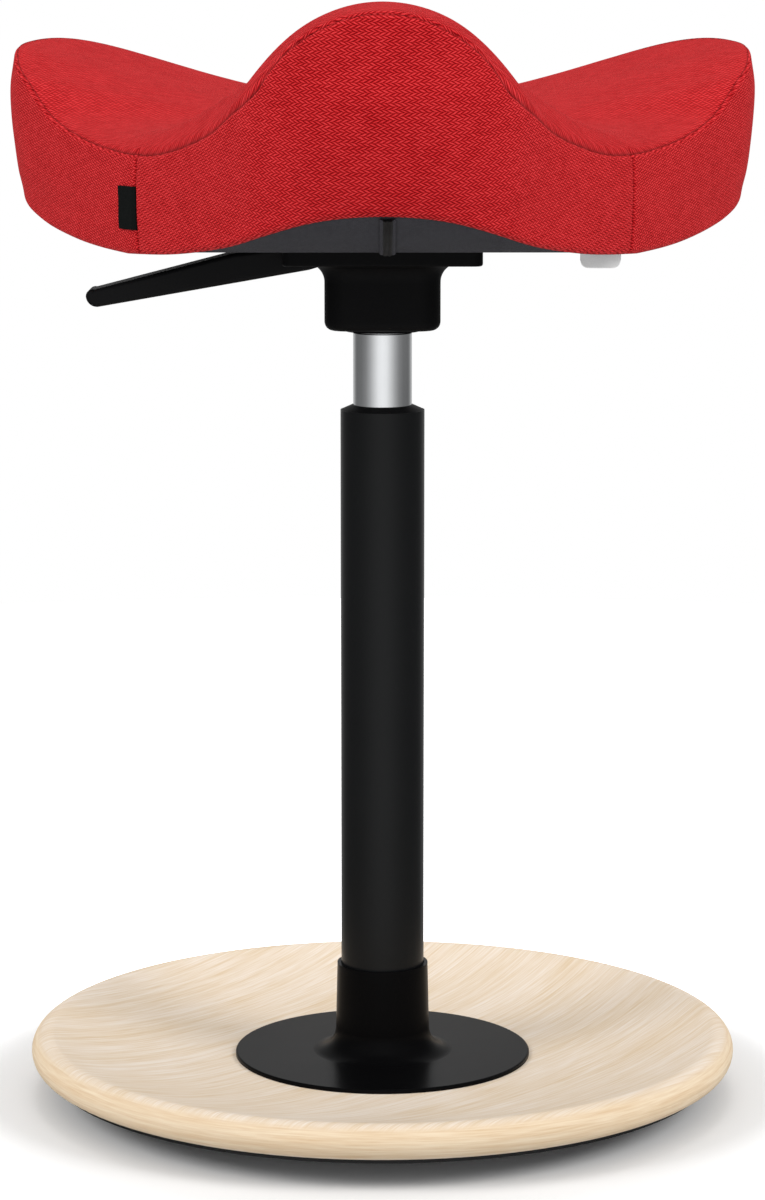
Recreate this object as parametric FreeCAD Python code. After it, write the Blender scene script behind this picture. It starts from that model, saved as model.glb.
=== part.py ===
import FreeCAD, Part
import math
import os

# Height-adjustable saddle stool: dished rocking base, gas column, hub with a release lever, and a
# three-lobed upholstered saddle seat. Origin on the floor under the column, +Z up, front towards -Y.
# All sizes are in millimetres.

# Base disc and tread
disc_radius = 183.4
disc_rim_flat_radius = 171.8
disc_centre_thickness = 15.0
dish_flat_radius = 78.0
dish_depth = 14.3
rim_height = 16.7
rim_under_radius = 177.6
rim_side_share = 0.46
rim_low_turn_share = 0.25
rim_low_height_share = 0.38
rim_high_turn_share = 0.24
rim_high_height_share = 0.25
tread_thickness = 3.0
tread_radius = 174.0
tread_flat_radius = 72.0
rocker_rise = 12.6

# Flange, its fixings and the column tube
flange_radius = 77.0
flange_thickness = 2.1
flange_edge_fillet = 0.9
collar_height = 46.8
collar_wall = 1.8
collar_gap = 0.3
collar_draft = 0.8
collar_flare = 12.0
tube_radius = 21.5
tube_wall = 2.0
tube_length = 337.3
end_plate_thickness = 3.0
fixing_circle_radius = 55.0
fixing_count = 4
screw_radius = 2.5
screw_head_radius = 6.0
screw_head_height = 2.8
screw_head_gap = 0.3
screw_overlap = 0.5
nut_radius = 5.0
nut_length = 7.0
bore_gap = 0.3

# Guide bush
bush_length = 60.4
bush_lip_height = 2.5
bush_lip_top_land = 0.7
bush_lip_inset = 0.2
running_gap = 0.05

# Thrust bearing and the rod's foot
bearing_radius = 12.0
race_thickness = 1.5
ball_radius = 1.6
ball_circle_radius = 8.4
ball_count = 9
cage_thickness = 1.2
cage_gap = 0.15
rod_radius = 5.0
rod_foot_radius = 4.0
rod_foot_length = 8.0
washer_radius = 8.0
washer_thickness = 1.6
washer_gap = 0.2
clip_radius = 7.0
clip_thickness = 1.2
clip_groove_depth = 0.7
foot_well_radius = 12.0
foot_well_floor_gap = 1.6
bump_stop_radius = 11.0
bump_stop_height = 8.4

# Gas spring
cylinder_radius = 15.0
cylinder_wall = 1.5
cylinder_foot_above_stop = 20.3
cylinder_show = 37.8
taper_foot_radius = 14.5
taper_top_radius = 13.5
taper_lead = 0.6
taper_length = 34.9
valve_bore_radius = 9.0
valve_cap_thickness = 4.0
valve_flange_length = 7.0
valve_length = 57.0
valve_fit = 0.05
pressure_tube_radius = 11.5
pressure_tube_wall = 1.2
rod_guide_length = 22.0
rod_seal_length = 4.0
piston_length = 12.0
piston_seal_length = 3.0
piston_seal_depth = 1.5
piston_height = 310.0
pin_radius = 3.0
pin_length = 58.5
pin_show = 4.5
pin_gap = 0.08

# Hub
hub_lip_radius = 19.25
hub_lip_height = 1.8
neck_width = 58.6
neck_depth = 60.0
neck_height = 33.9
neck_corner = 12.0
neck_bottom_fillet = 4.5
cove_radius = 9.5
plate_width = 100.0
plate_depth = 90.0
plate_thickness = 8.5
plate_corner = 5.0
plate_edge_fillet = 1.2
taper_gap = 0.03
lever_slot_width = 29.0
lever_slot_depth = 15.9
lever_slot_reach = 15.0

# Bolts that hold the hub to the seat
bolt_radius = 2.5
bolt_head_radius = 4.6
bolt_head_height = 3.2
bolt_head_recess = 0.4
bolt_place_x = 44.6
bolt_place_y = 34.0
bolt_gap = 0.3
tee_nut_radius = 4.0
tee_nut_flange_radius = 8.0
tee_nut_flange_thickness = 1.2

# Release lever
lever_width = 26.0
lever_pivot_x = -43.0
lever_pivot_drop = 4.6
lever_pin_radius = 1.8
lever_pin_grip = 6.0
lever_tip_x = -150.0
lever_tip_low = 31.1
lever_tip_high = 22.4
lever_tip_round = 4.2
lever_knee_x = -75.8
lever_knee_drop = 4.2
lever_top_gap = 0.8
lever_shoulder_x = -58.0
lever_shoulder_drop = 2.0
lever_heel_x = -37.5
lever_heel_drop = 12.6
lever_nose_start_x = -14.0
lever_nose_reach = 4.0
lever_nose_gap = 0.3
lever_edge_round = 2.2
lever_tip_foot_share = 1.6
lever_tip_low_share = 0.42
lever_tip_low_bulge = 1.3
lever_tip_high_share = 0.22
lever_tip_high_drop = 0.9
lever_tip_slope_share = 0.1
lever_paddle_edge_least = 5.0

# Seat plan: a triangle with round corners, one lobe to the front and two to the rear
corner_reach = 131.0
corner_radius = 79.0
side_reach = 147.0
side_seam_angle = 36.2

# Seat heights above its flat underside
underside_flat_reach = 50.0
underside_ramp_reach = 105.0
underside_ramp_rise = 2.4
underside_mid_reach = 160.0
underside_mid_rise = 10.3
underside_tip_reach = 205.0
underside_tip_rise = 26.5
cover_thickness = 2.0
shell_thickness = 10.0
shell_inset = 22.0

# Trim
zip_width = 6.0
zip_thickness = 1.2
zip_gap = 0.1
zip_start = 66.0
zip_end = 196.0
tab_width = 15.0
tab_height = 21.0
tab_thickness = 1.0
tab_seam_gap = 0.3
tab_foot_height = 11.0
label_width = 20.0
label_drop = 7.5
label_thickness = 1.2
label_place_x = 107.0
label_place_y = -66.0

# Heights that follow from the sizes
disc_top = tread_thickness + disc_centre_thickness
flange_top = disc_top + flange_thickness
tube_top = flange_top + tube_length
tube_bore = tube_radius - tube_wall
end_plate_top = flange_top + end_plate_thickness
balls_floor = end_plate_top + race_thickness
balls_ceiling = balls_floor + 2.0 * ball_radius
rod_shoulder = balls_ceiling + race_thickness
stop_top = rod_shoulder + bump_stop_height
cylinder_foot = stop_top + cylinder_foot_above_stop
bush_top = tube_top + bush_lip_height
hub_foot = bush_top + cylinder_show
neck_foot = hub_foot + hub_lip_height
plate_foot = neck_foot + neck_height
seat_base = plate_foot + plate_thickness
cylinder_top = hub_foot - taper_lead + taper_length
cylinder_bore = cylinder_radius - cylinder_wall
valve_top = cylinder_top - valve_cap_thickness
valve_foot = valve_top - valve_length
guide_top = cylinder_foot + rod_guide_length
pin_top = cylinder_top + pin_show
piston_foot = flange_top + piston_height
rod_tip = rod_shoulder - rod_foot_length - end_plate_thickness - flange_thickness
washer_top = flange_top - washer_gap
lever_pivot_z = seat_base - lever_pivot_drop

# Band profile: height above the seat's underside, lobe offset and side offset from the plan
band_levels = [
    (-14.0, -9.0, -1.0),
    (2.0, -8.5, -0.5),
    (14.0, -7.5, 0.5),
    (25.0, -5.5, 0.8),
    (34.0, -2.8, 0.8),
    (45.0, -0.8, 0.3),
    (62.0, 1.2, 0.0),
    (78.0, 1.5, 0.0),
    (92.0, -0.8, 0.0),
    (108.0, -2.5, 0.0),
    (120.0, -4.0, 0.0),
    (140.0, -6.5, 0.0),
]

# Saddle stations: distance towards the rear, height on the centre line, rise from there to the edge
saddle_stations = [
    (-228.0, 110.8, -72.5),
    (-207.0, 116.9, -64.4),
    (-190.0, 120.1, -49.5),
    (-172.0, 120.7, -52.2),
    (-152.0, 110.5, -51.0),
    (-130.0, 100.6, -47.0),
    (-108.0, 89.6, -39.8),
    (-86.0, 78.8, -29.9),
    (-60.0, 68.8, -18.2),
    (-30.0, 62.1, -6.8),
    (0.0, 59.5, 5.1),
    (30.0, 59.9, 23.7),
    (60.0, 62.0, 35.2),
    (95.0, 65.1, 37.4),
    (130.0, 67.8, 44.2),
    (165.0, 67.9, 49.7),
]
pommel_half_width = 62.0
saddle_margin = 14.0
saddle_arc_count = 6
saddle_front_share = 0.6
saddle_flank_share = 0.24
saddle_flank_y = -152.0
saddle_flank_spread = 26.0
saddle_rear_share = 1.35
saddle_turn_y = -100.0
saddle_turn_length = 130.0

# Sizes of the cutting tools beyond what they cut
cut_margin = 1.0
flat_tolerance = 0.01
saddle_tool_drop = 40.0
seat_tool_drop = 60.0
seat_tool_height = 260.0
strip_tool_drop = 20.0
strip_tool_height = 90.0
tab_tool_depth = 30.0


def vec(x, y, z):
    return FreeCAD.Vector(x, y, z)


def cylinder(radius, foot, top):
    return Part.makeCylinder(radius, top - foot, vec(0, 0, foot))


def ring(outer, inner, foot, top):
    return cylinder(outer, foot, top).cut(cylinder(inner, foot - cut_margin, top + cut_margin))


def line(a, b):
    return Part.LineSegment(a, b).toShape()


def arc(a, through, b):
    return Part.Arc(a, through, b).toShape()


def polyline(points):
    closed = points + [points[0]]
    return [line(closed[i], closed[i + 1]) for i in range(len(points))]


def revolved(edges):
    face = Part.Face(Part.Wire(edges))
    return face.revolve(vec(0, 0, 0), vec(0, 0, 1), 360.0)


def revolved_profile(points):
    return revolved(polyline([vec(r, 0, z) for r, z in points]))


def sag_radius(run, rise):
    return (run * run + rise * rise) / (2.0 * rise)


def sag_height(run, radius):
    return radius - math.sqrt(radius * radius - run * run)


def round_places(radius, count, first_angle):
    step = 2.0 * math.pi / count
    angles = [math.radians(first_angle) + step * i for i in range(count)]
    return [(radius * math.cos(a), radius * math.sin(a)) for a in angles]


def at_places(shape, places):
    copies = []
    for x, y in places:
        copy = shape.copy()
        copy.translate(vec(x, y, 0))
        copies.append(copy)
    return Part.Compound(copies)


def fixing_places():
    return round_places(fixing_circle_radius, fixing_count, 45.0)


def bolt_places():
    return [(sx * bolt_place_x, sy * bolt_place_y) for sx in (-1, 1) for sy in (-1, 1)]


# Underside of the disc, a shallow bowl that the tread follows; height is that of its flat middle
def rocker_edges(height, end_radius):
    bowl = sag_radius(tread_radius - tread_flat_radius, rocker_rise)
    run = end_radius - tread_flat_radius
    middle = tread_flat_radius + 0.5 * run
    start = vec(tread_flat_radius, 0, height)
    through = vec(middle, 0, height + sag_height(0.5 * run, bowl))
    end = vec(end_radius, 0, height + sag_height(run, bowl))
    return [line(vec(0, 0, height), start), arc(start, through, end)], end


def base_disc():
    under, under_end = rocker_edges(tread_thickness, tread_radius)
    crest_z = disc_top + dish_depth
    foot_z = crest_z - rim_height
    side_z = foot_z + rim_height * (1.0 - rim_side_share)
    rim_foot = vec(rim_under_radius, 0, foot_z)
    side = vec(disc_radius, 0, side_z)
    crest = vec(disc_rim_flat_radius, 0, crest_z)
    low_turn = vec(
        disc_radius - rim_low_turn_share * (disc_radius - rim_under_radius),
        0,
        foot_z + rim_low_height_share * (side_z - foot_z),
    )
    high_turn = vec(
        disc_radius - rim_high_turn_share * (disc_radius - disc_rim_flat_radius),
        0,
        crest_z - rim_high_height_share * (crest_z - side_z),
    )
    dish = sag_radius(disc_rim_flat_radius - dish_flat_radius, dish_depth)
    dish_middle = 0.5 * (disc_rim_flat_radius + dish_flat_radius)
    dish_through = vec(
        dish_middle, 0, disc_top + sag_height(dish_middle - dish_flat_radius, dish)
    )
    dish_start = vec(dish_flat_radius, 0, disc_top)
    top_centre = vec(0, 0, disc_top)
    edges = under + [
        line(under_end, rim_foot),
        arc(rim_foot, low_turn, side),
        arc(side, high_turn, crest),
        arc(crest, dish_through, dish_start),
        line(dish_start, top_centre),
        line(top_centre, vec(0, 0, tread_thickness)),
    ]
    disc = revolved(edges)
    well_floor = rod_tip - foot_well_floor_gap
    disc = disc.cut(cylinder(foot_well_radius, well_floor, disc_top + cut_margin))
    nut_foot = disc_top - nut_length
    head_top = tread_thickness + screw_head_gap + screw_head_height
    for x, y in fixing_places():
        nut_hole = cylinder(nut_radius + bore_gap, nut_foot - bore_gap, disc_top + cut_margin)
        shank_hole = cylinder(screw_radius + bore_gap, 0.0, disc_top)
        head_hole = cylinder(screw_head_radius + bore_gap, 0.0, head_top)
        tool = nut_hole.fuse([shank_hole, head_hole])
        tool.translate(vec(x, y, 0))
        disc = disc.cut(tool)
    return disc


def base_tread():
    under, under_end = rocker_edges(0.0, tread_radius)
    over, over_end = rocker_edges(tread_thickness, tread_radius)
    edges = under + over + [line(under_end, over_end)]
    edges.append(line(vec(0, 0, 0), vec(0, 0, tread_thickness)))
    return revolved(Part.__sortEdges__(edges))


def base_flange():
    collar_bore = tube_radius + collar_gap
    collar_top_radius = collar_bore + collar_wall
    collar_foot_radius = collar_top_radius + collar_draft
    collar_top = flange_top + collar_height
    flare_top = vec(collar_foot_radius, 0, flange_top + collar_flare)
    flare_foot = vec(collar_foot_radius + collar_flare, 0, flange_top)
    turn = collar_flare * (1.0 - math.sqrt(0.5))
    flare_through = vec(collar_foot_radius + turn, 0, flange_top + turn)
    edge_in = flange_edge_fillet * (1.0 - math.sqrt(0.5))
    edge_top = vec(flange_radius - flange_edge_fillet, 0, flange_top)
    edge_through = vec(flange_radius - edge_in, 0, flange_top - edge_in)
    edge_side = vec(flange_radius, 0, flange_top - flange_edge_fillet)
    points = [
        vec(foot_well_radius, 0, disc_top),
        vec(flange_radius, 0, disc_top),
    ]
    edges = [
        line(points[0], points[1]),
        line(points[1], edge_side),
        arc(edge_side, edge_through, edge_top),
        line(edge_top, flare_foot),
        arc(flare_foot, flare_through, flare_top),
        line(flare_top, vec(collar_top_radius, 0, collar_top)),
        line(vec(collar_top_radius, 0, collar_top), vec(collar_bore, 0, collar_top)),
        line(vec(collar_bore, 0, collar_top), vec(collar_bore, 0, flange_top)),
        line(vec(collar_bore, 0, flange_top), vec(foot_well_radius, 0, flange_top)),
        line(vec(foot_well_radius, 0, flange_top), points[0]),
    ]
    return revolved(edges)


def flange_nuts():
    nut = ring(nut_radius, screw_radius, disc_top - nut_length, disc_top)
    return at_places(nut, fixing_places())


def base_screws():
    head_foot = tread_thickness + screw_head_gap
    head_top = head_foot + screw_head_height
    head = cylinder(screw_head_radius, head_foot, head_top)
    shank = cylinder(screw_radius, head_top - screw_overlap, disc_top - screw_overlap)
    return at_places(head.fuse(shank), fixing_places())


def column_tube():
    return ring(tube_radius, tube_bore, flange_top, tube_top)


def column_end_plate():
    return ring(tube_bore, rod_foot_radius + bore_gap, flange_top, end_plate_top)


def guide_bush():
    bore = cylinder_radius + running_gap
    outer = tube_bore
    lip_foot = tube_radius - bush_lip_inset
    return revolved_profile([
        (bore, tube_top - bush_length),
        (outer, tube_top - bush_length),
        (outer, tube_top),
        (lip_foot, tube_top),
        (bore + bush_lip_top_land, bush_top),
        (bore, bush_top),
    ])


def race(foot):
    return ring(bearing_radius, rod_foot_radius + running_gap, foot, foot + race_thickness)


def lower_race():
    return ring(bearing_radius, rod_foot_radius + bore_gap, end_plate_top, balls_floor)


def upper_race():
    return race(balls_ceiling)


def ball_centre_height():
    return balls_floor + ball_radius


def thrust_balls():
    ball = Part.makeSphere(ball_radius, vec(0, 0, ball_centre_height()))
    return at_places(ball, round_places(ball_circle_radius, ball_count, 0.0))


def ball_cage():
    foot = ball_centre_height() - 0.5 * cage_thickness
    inner = rod_foot_radius + bore_gap
    cage = ring(bearing_radius - bore_gap, inner, foot, foot + cage_thickness)
    for x, y in round_places(ball_circle_radius, ball_count, 0.0):
        pocket = cylinder(ball_radius + cage_gap, foot - cut_margin, foot + cage_thickness + cut_margin)
        pocket.translate(vec(x, y, 0))
        cage = cage.cut(pocket)
    return cage


def bump_stop():
    return ring(bump_stop_radius, rod_radius, rod_shoulder, stop_top)


def clip_foot():
    return washer_top - washer_thickness - clip_thickness


def piston_rod():
    foot = cylinder(rod_foot_radius, rod_tip, rod_shoulder)
    stem = cylinder(rod_radius, rod_shoulder, piston_foot)
    groove_radius = rod_foot_radius - clip_groove_depth
    groove = ring(rod_radius, groove_radius, clip_foot(), clip_foot() + clip_thickness)
    return foot.fuse(stem).cut(groove)


def rod_washer():
    inner = rod_foot_radius + running_gap
    return ring(washer_radius, inner, washer_top - washer_thickness, washer_top)


def rod_clip():
    inner = rod_foot_radius - clip_groove_depth
    return ring(clip_radius, inner, clip_foot(), clip_foot() + clip_thickness)


def pressure_bore():
    return pressure_tube_radius - pressure_tube_wall


def piston_radius():
    return pressure_bore() - running_gap


def seal_foot():
    return piston_foot + 0.5 * (piston_length - piston_seal_length)


def piston():
    body = cylinder(piston_radius(), piston_foot, piston_foot + piston_length)
    inner = piston_radius() - piston_seal_depth
    groove = ring(piston_radius() + cut_margin, inner, seal_foot(), seal_foot() + piston_seal_length)
    return body.cut(groove)


def piston_seal():
    inner = piston_radius() - piston_seal_depth
    return ring(piston_radius(), inner, seal_foot(), seal_foot() + piston_seal_length)


def gas_cylinder():
    taper_foot = hub_foot - taper_lead
    return revolved_profile([
        (cylinder_bore, cylinder_foot),
        (cylinder_radius, cylinder_foot),
        (cylinder_radius, taper_foot - (cylinder_radius - taper_foot_radius)),
        (taper_foot_radius, taper_foot),
        (taper_top_radius, cylinder_top),
        (pin_radius + pin_gap, cylinder_top),
        (pin_radius + pin_gap, valve_top),
        (valve_bore_radius, valve_top),
        (valve_bore_radius, valve_foot + valve_flange_length),
        (cylinder_bore, valve_foot + valve_flange_length),
    ])


def pressure_tube():
    return ring(pressure_tube_radius, pressure_bore(), guide_top, valve_foot)


def rod_guide():
    outer = cylinder_bore - valve_fit
    body = ring(outer, rod_radius + running_gap, cylinder_foot, guide_top)
    recess = cylinder(rod_seal_radius(), cylinder_foot - cut_margin, cylinder_foot + rod_seal_length)
    return body.cut(recess)


def rod_seal_radius():
    return 0.5 * (rod_radius + cylinder_bore)


def rod_seal():
    inner = rod_radius + running_gap
    return ring(rod_seal_radius(), inner, cylinder_foot, cylinder_foot + rod_seal_length)


def valve_body():
    flange = cylinder(cylinder_bore - valve_fit, valve_foot, valve_foot + valve_flange_length)
    stem = cylinder(valve_bore_radius - valve_fit, valve_foot, valve_top)
    hole = cylinder(pin_radius + pin_gap, valve_foot - cut_margin, valve_top + cut_margin)
    return flange.fuse(stem).cut(hole)


def release_pin():
    return cylinder(pin_radius, pin_top - pin_length, pin_top)


def rounded_block(width, depth, corner, foot, top):
    block = Part.makeBox(width, depth, top - foot, vec(-0.5 * width, -0.5 * depth, foot))
    upright = [e for e in block.Edges if abs(e.Vertexes[0].Z - e.Vertexes[1].Z) > flat_tolerance]
    return block.makeFillet(corner, upright)


def edges_at(shape, height):
    found = []
    for edge in shape.Edges:
        box = edge.BoundBox
        if abs(box.ZMin - height) < flat_tolerance and abs(box.ZMax - height) < flat_tolerance:
            found.append(edge)
    return found


def hub_bore():
    slope = (taper_foot_radius - taper_top_radius) / taper_length
    foot = hub_foot - taper_lead
    top_radius = taper_top_radius + taper_gap
    extra = 2.0
    return Part.makeCone(
        taper_foot_radius + taper_gap + extra * slope,
        top_radius - extra * slope,
        taper_length + 2.0 * extra,
        vec(0, 0, foot - extra),
    )


def seat_hub():
    neck = rounded_block(neck_width, neck_depth, neck_corner, neck_foot, seat_base - cut_margin)
    neck = neck.makeFillet(neck_bottom_fillet, edges_at(neck, neck_foot))
    plate = rounded_block(plate_width, plate_depth, plate_corner, plate_foot, seat_base)
    plate = plate.makeFillet(plate_edge_fillet, edges_at(plate, plate_foot))
    body = neck.fuse(plate).removeSplitter()
    joint = [e for e in edges_at(body, plate_foot) if e.BoundBox.XMax < 0.5 * neck_width + 0.1]
    joint = [e for e in joint if e.BoundBox.XMin > -0.5 * neck_width - 0.1]
    joint = [e for e in joint if abs(e.BoundBox.YMax) < 0.5 * neck_depth + 0.1]
    body = body.makeFillet(cove_radius, joint)
    body = body.fuse(cylinder(hub_lip_radius, hub_foot, neck_foot + cut_margin)).removeSplitter()
    body = body.cut(hub_bore())
    slot_foot = seat_base - lever_slot_depth
    slot_start = -0.5 * plate_width - 1.0
    slot = Part.makeBox(
        lever_slot_reach - slot_start,
        lever_slot_width,
        lever_slot_depth + cut_margin,
        vec(slot_start, -0.5 * lever_slot_width, slot_foot),
    )
    body = body.cut(slot)
    body = body.cut(lever_pin())
    for x, y in bolt_places():
        hole = cylinder(bolt_radius + bolt_gap, plate_foot - cut_margin, seat_base + cut_margin)
        hole = hole.fuse(cylinder(bolt_head_radius + bolt_gap, plate_foot - cut_margin, bolt_seat()))
        hole.translate(vec(x, y, 0))
        body = body.cut(hole)
    return body


def cross_pin(radius, length):
    start = vec(lever_pivot_x, -0.5 * length, lever_pivot_z)
    return Part.makeCylinder(radius, length, start, vec(0, 1, 0))


def lever_pin():
    return cross_pin(lever_pin_radius, lever_slot_width + 2.0 * lever_pin_grip)


def bolt_seat():
    return plate_foot + bolt_head_recess + bolt_head_height


def hub_bolts():
    head = cylinder(bolt_head_radius, plate_foot + bolt_head_recess, bolt_seat())
    shank = cylinder(bolt_radius, plate_foot + bolt_head_recess, bolt_tip())
    return at_places(head.fuse(shank), bolt_places())


def bolt_tip():
    return seat_base + cover_thickness + shell_thickness


def tee_nuts():
    foot = seat_base + cover_thickness
    top = bolt_tip()
    barrel = ring(tee_nut_radius, bolt_radius, foot, top)
    flange = ring(tee_nut_flange_radius, bolt_radius, top, top + tee_nut_flange_thickness)
    return at_places(barrel.fuse(flange), bolt_places())


def release_lever():
    def at(x, drop):
        return vec(x, -0.5 * lever_width, seat_base - drop)

    nose_drop = seat_base - (pin_top + lever_nose_gap)
    tip_round_top = lever_tip_x + lever_tip_round
    top_slope = (lever_tip_high - lever_knee_drop) / (lever_knee_x - tip_round_top)
    tip_mid_drop = 0.5 * (lever_tip_low + lever_tip_high)
    tip_foot = at(lever_tip_x + lever_tip_foot_share * lever_tip_round, lever_tip_low)
    tip_high = at(tip_round_top, lever_tip_high)
    tip_low_turn = at(
        lever_tip_x + lever_tip_low_share * lever_tip_round, lever_tip_low - lever_tip_low_bulge
    )
    tip_side = at(lever_tip_x, tip_mid_drop)
    tip_high_turn = at(
        lever_tip_x + lever_tip_high_share * lever_tip_round,
        lever_tip_high + lever_tip_high_drop + lever_tip_slope_share * top_slope,
    )
    edges = [
        arc(tip_foot, tip_low_turn, tip_side),
        arc(tip_side, tip_high_turn, tip_high),
        line(tip_high, at(lever_knee_x, lever_knee_drop)),
        line(at(lever_knee_x, lever_knee_drop), at(lever_shoulder_x, lever_shoulder_drop)),
        line(at(lever_shoulder_x, lever_shoulder_drop), at(lever_pivot_x, lever_top_gap)),
        line(at(lever_pivot_x, lever_top_gap), at(lever_nose_reach, lever_top_gap)),
        line(at(lever_nose_reach, lever_top_gap), at(lever_nose_reach, nose_drop)),
        line(at(lever_nose_reach, nose_drop), at(lever_nose_start_x, nose_drop)),
        line(at(lever_nose_start_x, nose_drop), at(lever_heel_x, lever_heel_drop)),
        line(at(lever_heel_x, lever_heel_drop), tip_foot),
    ]
    body = Part.Face(Part.Wire(edges)).extrude(vec(0, lever_width, 0))
    hole = cross_pin(lever_pin_radius + running_gap, lever_width + 2.0 * cut_margin)
    body = body.cut(hole)
    paddle = []
    for edge in body.Edges:
        box = edge.BoundBox
        along = box.XLength > lever_paddle_edge_least and box.YLength < flat_tolerance
        if along and box.XMax < lever_shoulder_x + flat_tolerance:
            paddle.append(edge)
    return body.makeFillet(lever_edge_round, paddle)


# The seat's plan at one level, three corner arcs joined by three large side arcs
def plan_wire(reach, radius, side, height):
    bow = side - radius
    back = (reach * reach - bow * bow) / (2.0 * bow - reach)
    edges = []
    for lobe in range(3):
        lobe_angle = math.radians(-90.0 + 120.0 * lobe)
        side_angle = lobe_angle + math.radians(60.0)
        corner = vec(reach * math.cos(lobe_angle), reach * math.sin(lobe_angle), height)
        nose = (reach + radius) / reach
        corner_start = corner_tangent(corner, lobe_angle - math.radians(60.0), back, radius)
        corner_end = corner_tangent(corner, side_angle, back, radius)
        next_angle = lobe_angle + math.radians(120.0)
        next_corner = vec(reach * math.cos(next_angle), reach * math.sin(next_angle), height)
        side_end = corner_tangent(next_corner, side_angle, back, radius)
        middle = vec(side * math.cos(side_angle), side * math.sin(side_angle), height)
        tip = vec(nose * corner.x, nose * corner.y, height)
        edges.append(arc(corner_start, tip, corner_end))
        edges.append(arc(corner_end, middle, side_end))
    return Part.Wire(edges)


# Where the corner's arc meets the side arc, whose centre lies behind the axis
def corner_tangent(corner, side_angle, back, radius):
    centre = vec(-back * math.cos(side_angle), -back * math.sin(side_angle), corner.z)
    outward = corner.sub(centre)
    return corner.add(outward.normalize().multiply(radius))


def plan_body(inset):
    wires = []
    for height, lobe_offset, side_offset in band_levels:
        wires.append(plan_wire(
            corner_reach + lobe_offset,
            corner_radius - inset,
            side_reach + side_offset - inset,
            seat_base + height,
        ))
    return Part.makeLoft(wires, True, False)


def plan_half_width(y):
    straight = (side_reach + 0.5 * y) / math.cos(math.radians(30.0))
    widest = corner_reach * math.cos(math.radians(30.0)) + corner_radius
    return min(max(straight, pommel_half_width), widest)


# How the saddle falls or rises from its middle to its edge: steeper flanks behind the front lobe
def arch_shape(share, y):
    flank = math.exp(-((y - saddle_flank_y) / saddle_flank_spread) ** 2)
    square = saddle_front_share + saddle_flank_share * flank
    front = square * share ** 2 + (1.0 - square) * share ** 5
    rear = saddle_rear_share * share ** 2 + (1.0 - saddle_rear_share) * share ** 4
    turn = min(max((y - saddle_turn_y) / saddle_turn_length, 0.0), 1.0)
    mix = turn * turn * (3.0 - 2.0 * turn)
    return (1.0 - mix) * front + mix * rear


def saddle_height(x, station):
    y, centre, rise = station
    share = abs(x) / plan_half_width(y)
    return seat_base + centre + rise * arch_shape(share, y)


def saddle_wire(station, foot):
    y = station[0]
    half = plan_half_width(y) + saddle_margin
    xs = [half * (i / float(saddle_arc_count) - 1.0) for i in range(2 * saddle_arc_count + 1)]
    tops = [vec(x, y, saddle_height(x, station)) for x in xs]
    edges = []
    for i in range(saddle_arc_count):
        edges.append(arc(tops[2 * i], tops[2 * i + 1], tops[2 * i + 2]))
    left = vec(-half, y, foot)
    right = vec(half, y, foot)
    edges.append(line(tops[-1], right))
    edges.append(line(right, left))
    edges.append(line(left, tops[0]))
    return Part.Wire(edges)


def saddle_body(drop):
    wires = [saddle_wire(station, seat_base - saddle_tool_drop) for station in saddle_stations]
    body = Part.makeLoft(wires, True, False)
    body.translate(vec(0, 0, -drop))
    return body


# Everything under the seat's underside raised by lift: three lobes that rise from a flat middle
def under_space(lift):
    base = seat_base + lift
    low = base - seat_tool_drop
    far = corner_reach + corner_radius + seat_tool_drop
    slope = (underside_tip_rise - underside_mid_rise) / (underside_tip_reach - underside_mid_reach)
    far_rise = underside_tip_rise + slope * (far - underside_tip_reach)
    start = vec(underside_flat_reach, -far, base)
    ramp = vec(underside_ramp_reach, -far, base + underside_ramp_rise)
    mid = vec(underside_mid_reach, -far, base + underside_mid_rise)
    tip = vec(underside_tip_reach, -far, base + underside_tip_rise)
    end = vec(far, -far, base + far_rise)
    edges = [
        line(vec(-far, -far, base), start),
        line(start, ramp),
        arc(ramp, mid, tip),
        line(tip, end),
        line(end, vec(far, -far, low)),
        line(vec(far, -far, low), vec(-far, -far, low)),
        line(vec(-far, -far, low), vec(-far, -far, base)),
    ]
    wedge = Part.Face(Part.Wire(edges)).extrude(vec(0, 2.0 * far, 0))
    wedges = []
    for lobe in range(3):
        copy = wedge.copy()
        copy.rotate(vec(0, 0, 0), vec(0, 0, 1), -90.0 + 120.0 * lobe)
        wedges.append(copy)
    return wedges[0].fuse(wedges[1:])


# A vertical wedge of space between two directions from the column's axis
def sector(start_angle, end_angle):
    far = 2.0 * (corner_reach + corner_radius)
    middle = 0.5 * (start_angle + end_angle)
    points = [vec(0, 0, seat_base - seat_tool_drop)]
    for angle in (start_angle, 0.5 * (start_angle + middle), middle,
                  0.5 * (middle + end_angle), end_angle):
        turn = math.radians(angle)
        points.append(vec(far * math.cos(turn), far * math.sin(turn), seat_base - seat_tool_drop))
    return Part.Face(Part.Wire(polyline(points))).extrude(vec(0, 0, seat_tool_height))


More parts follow.
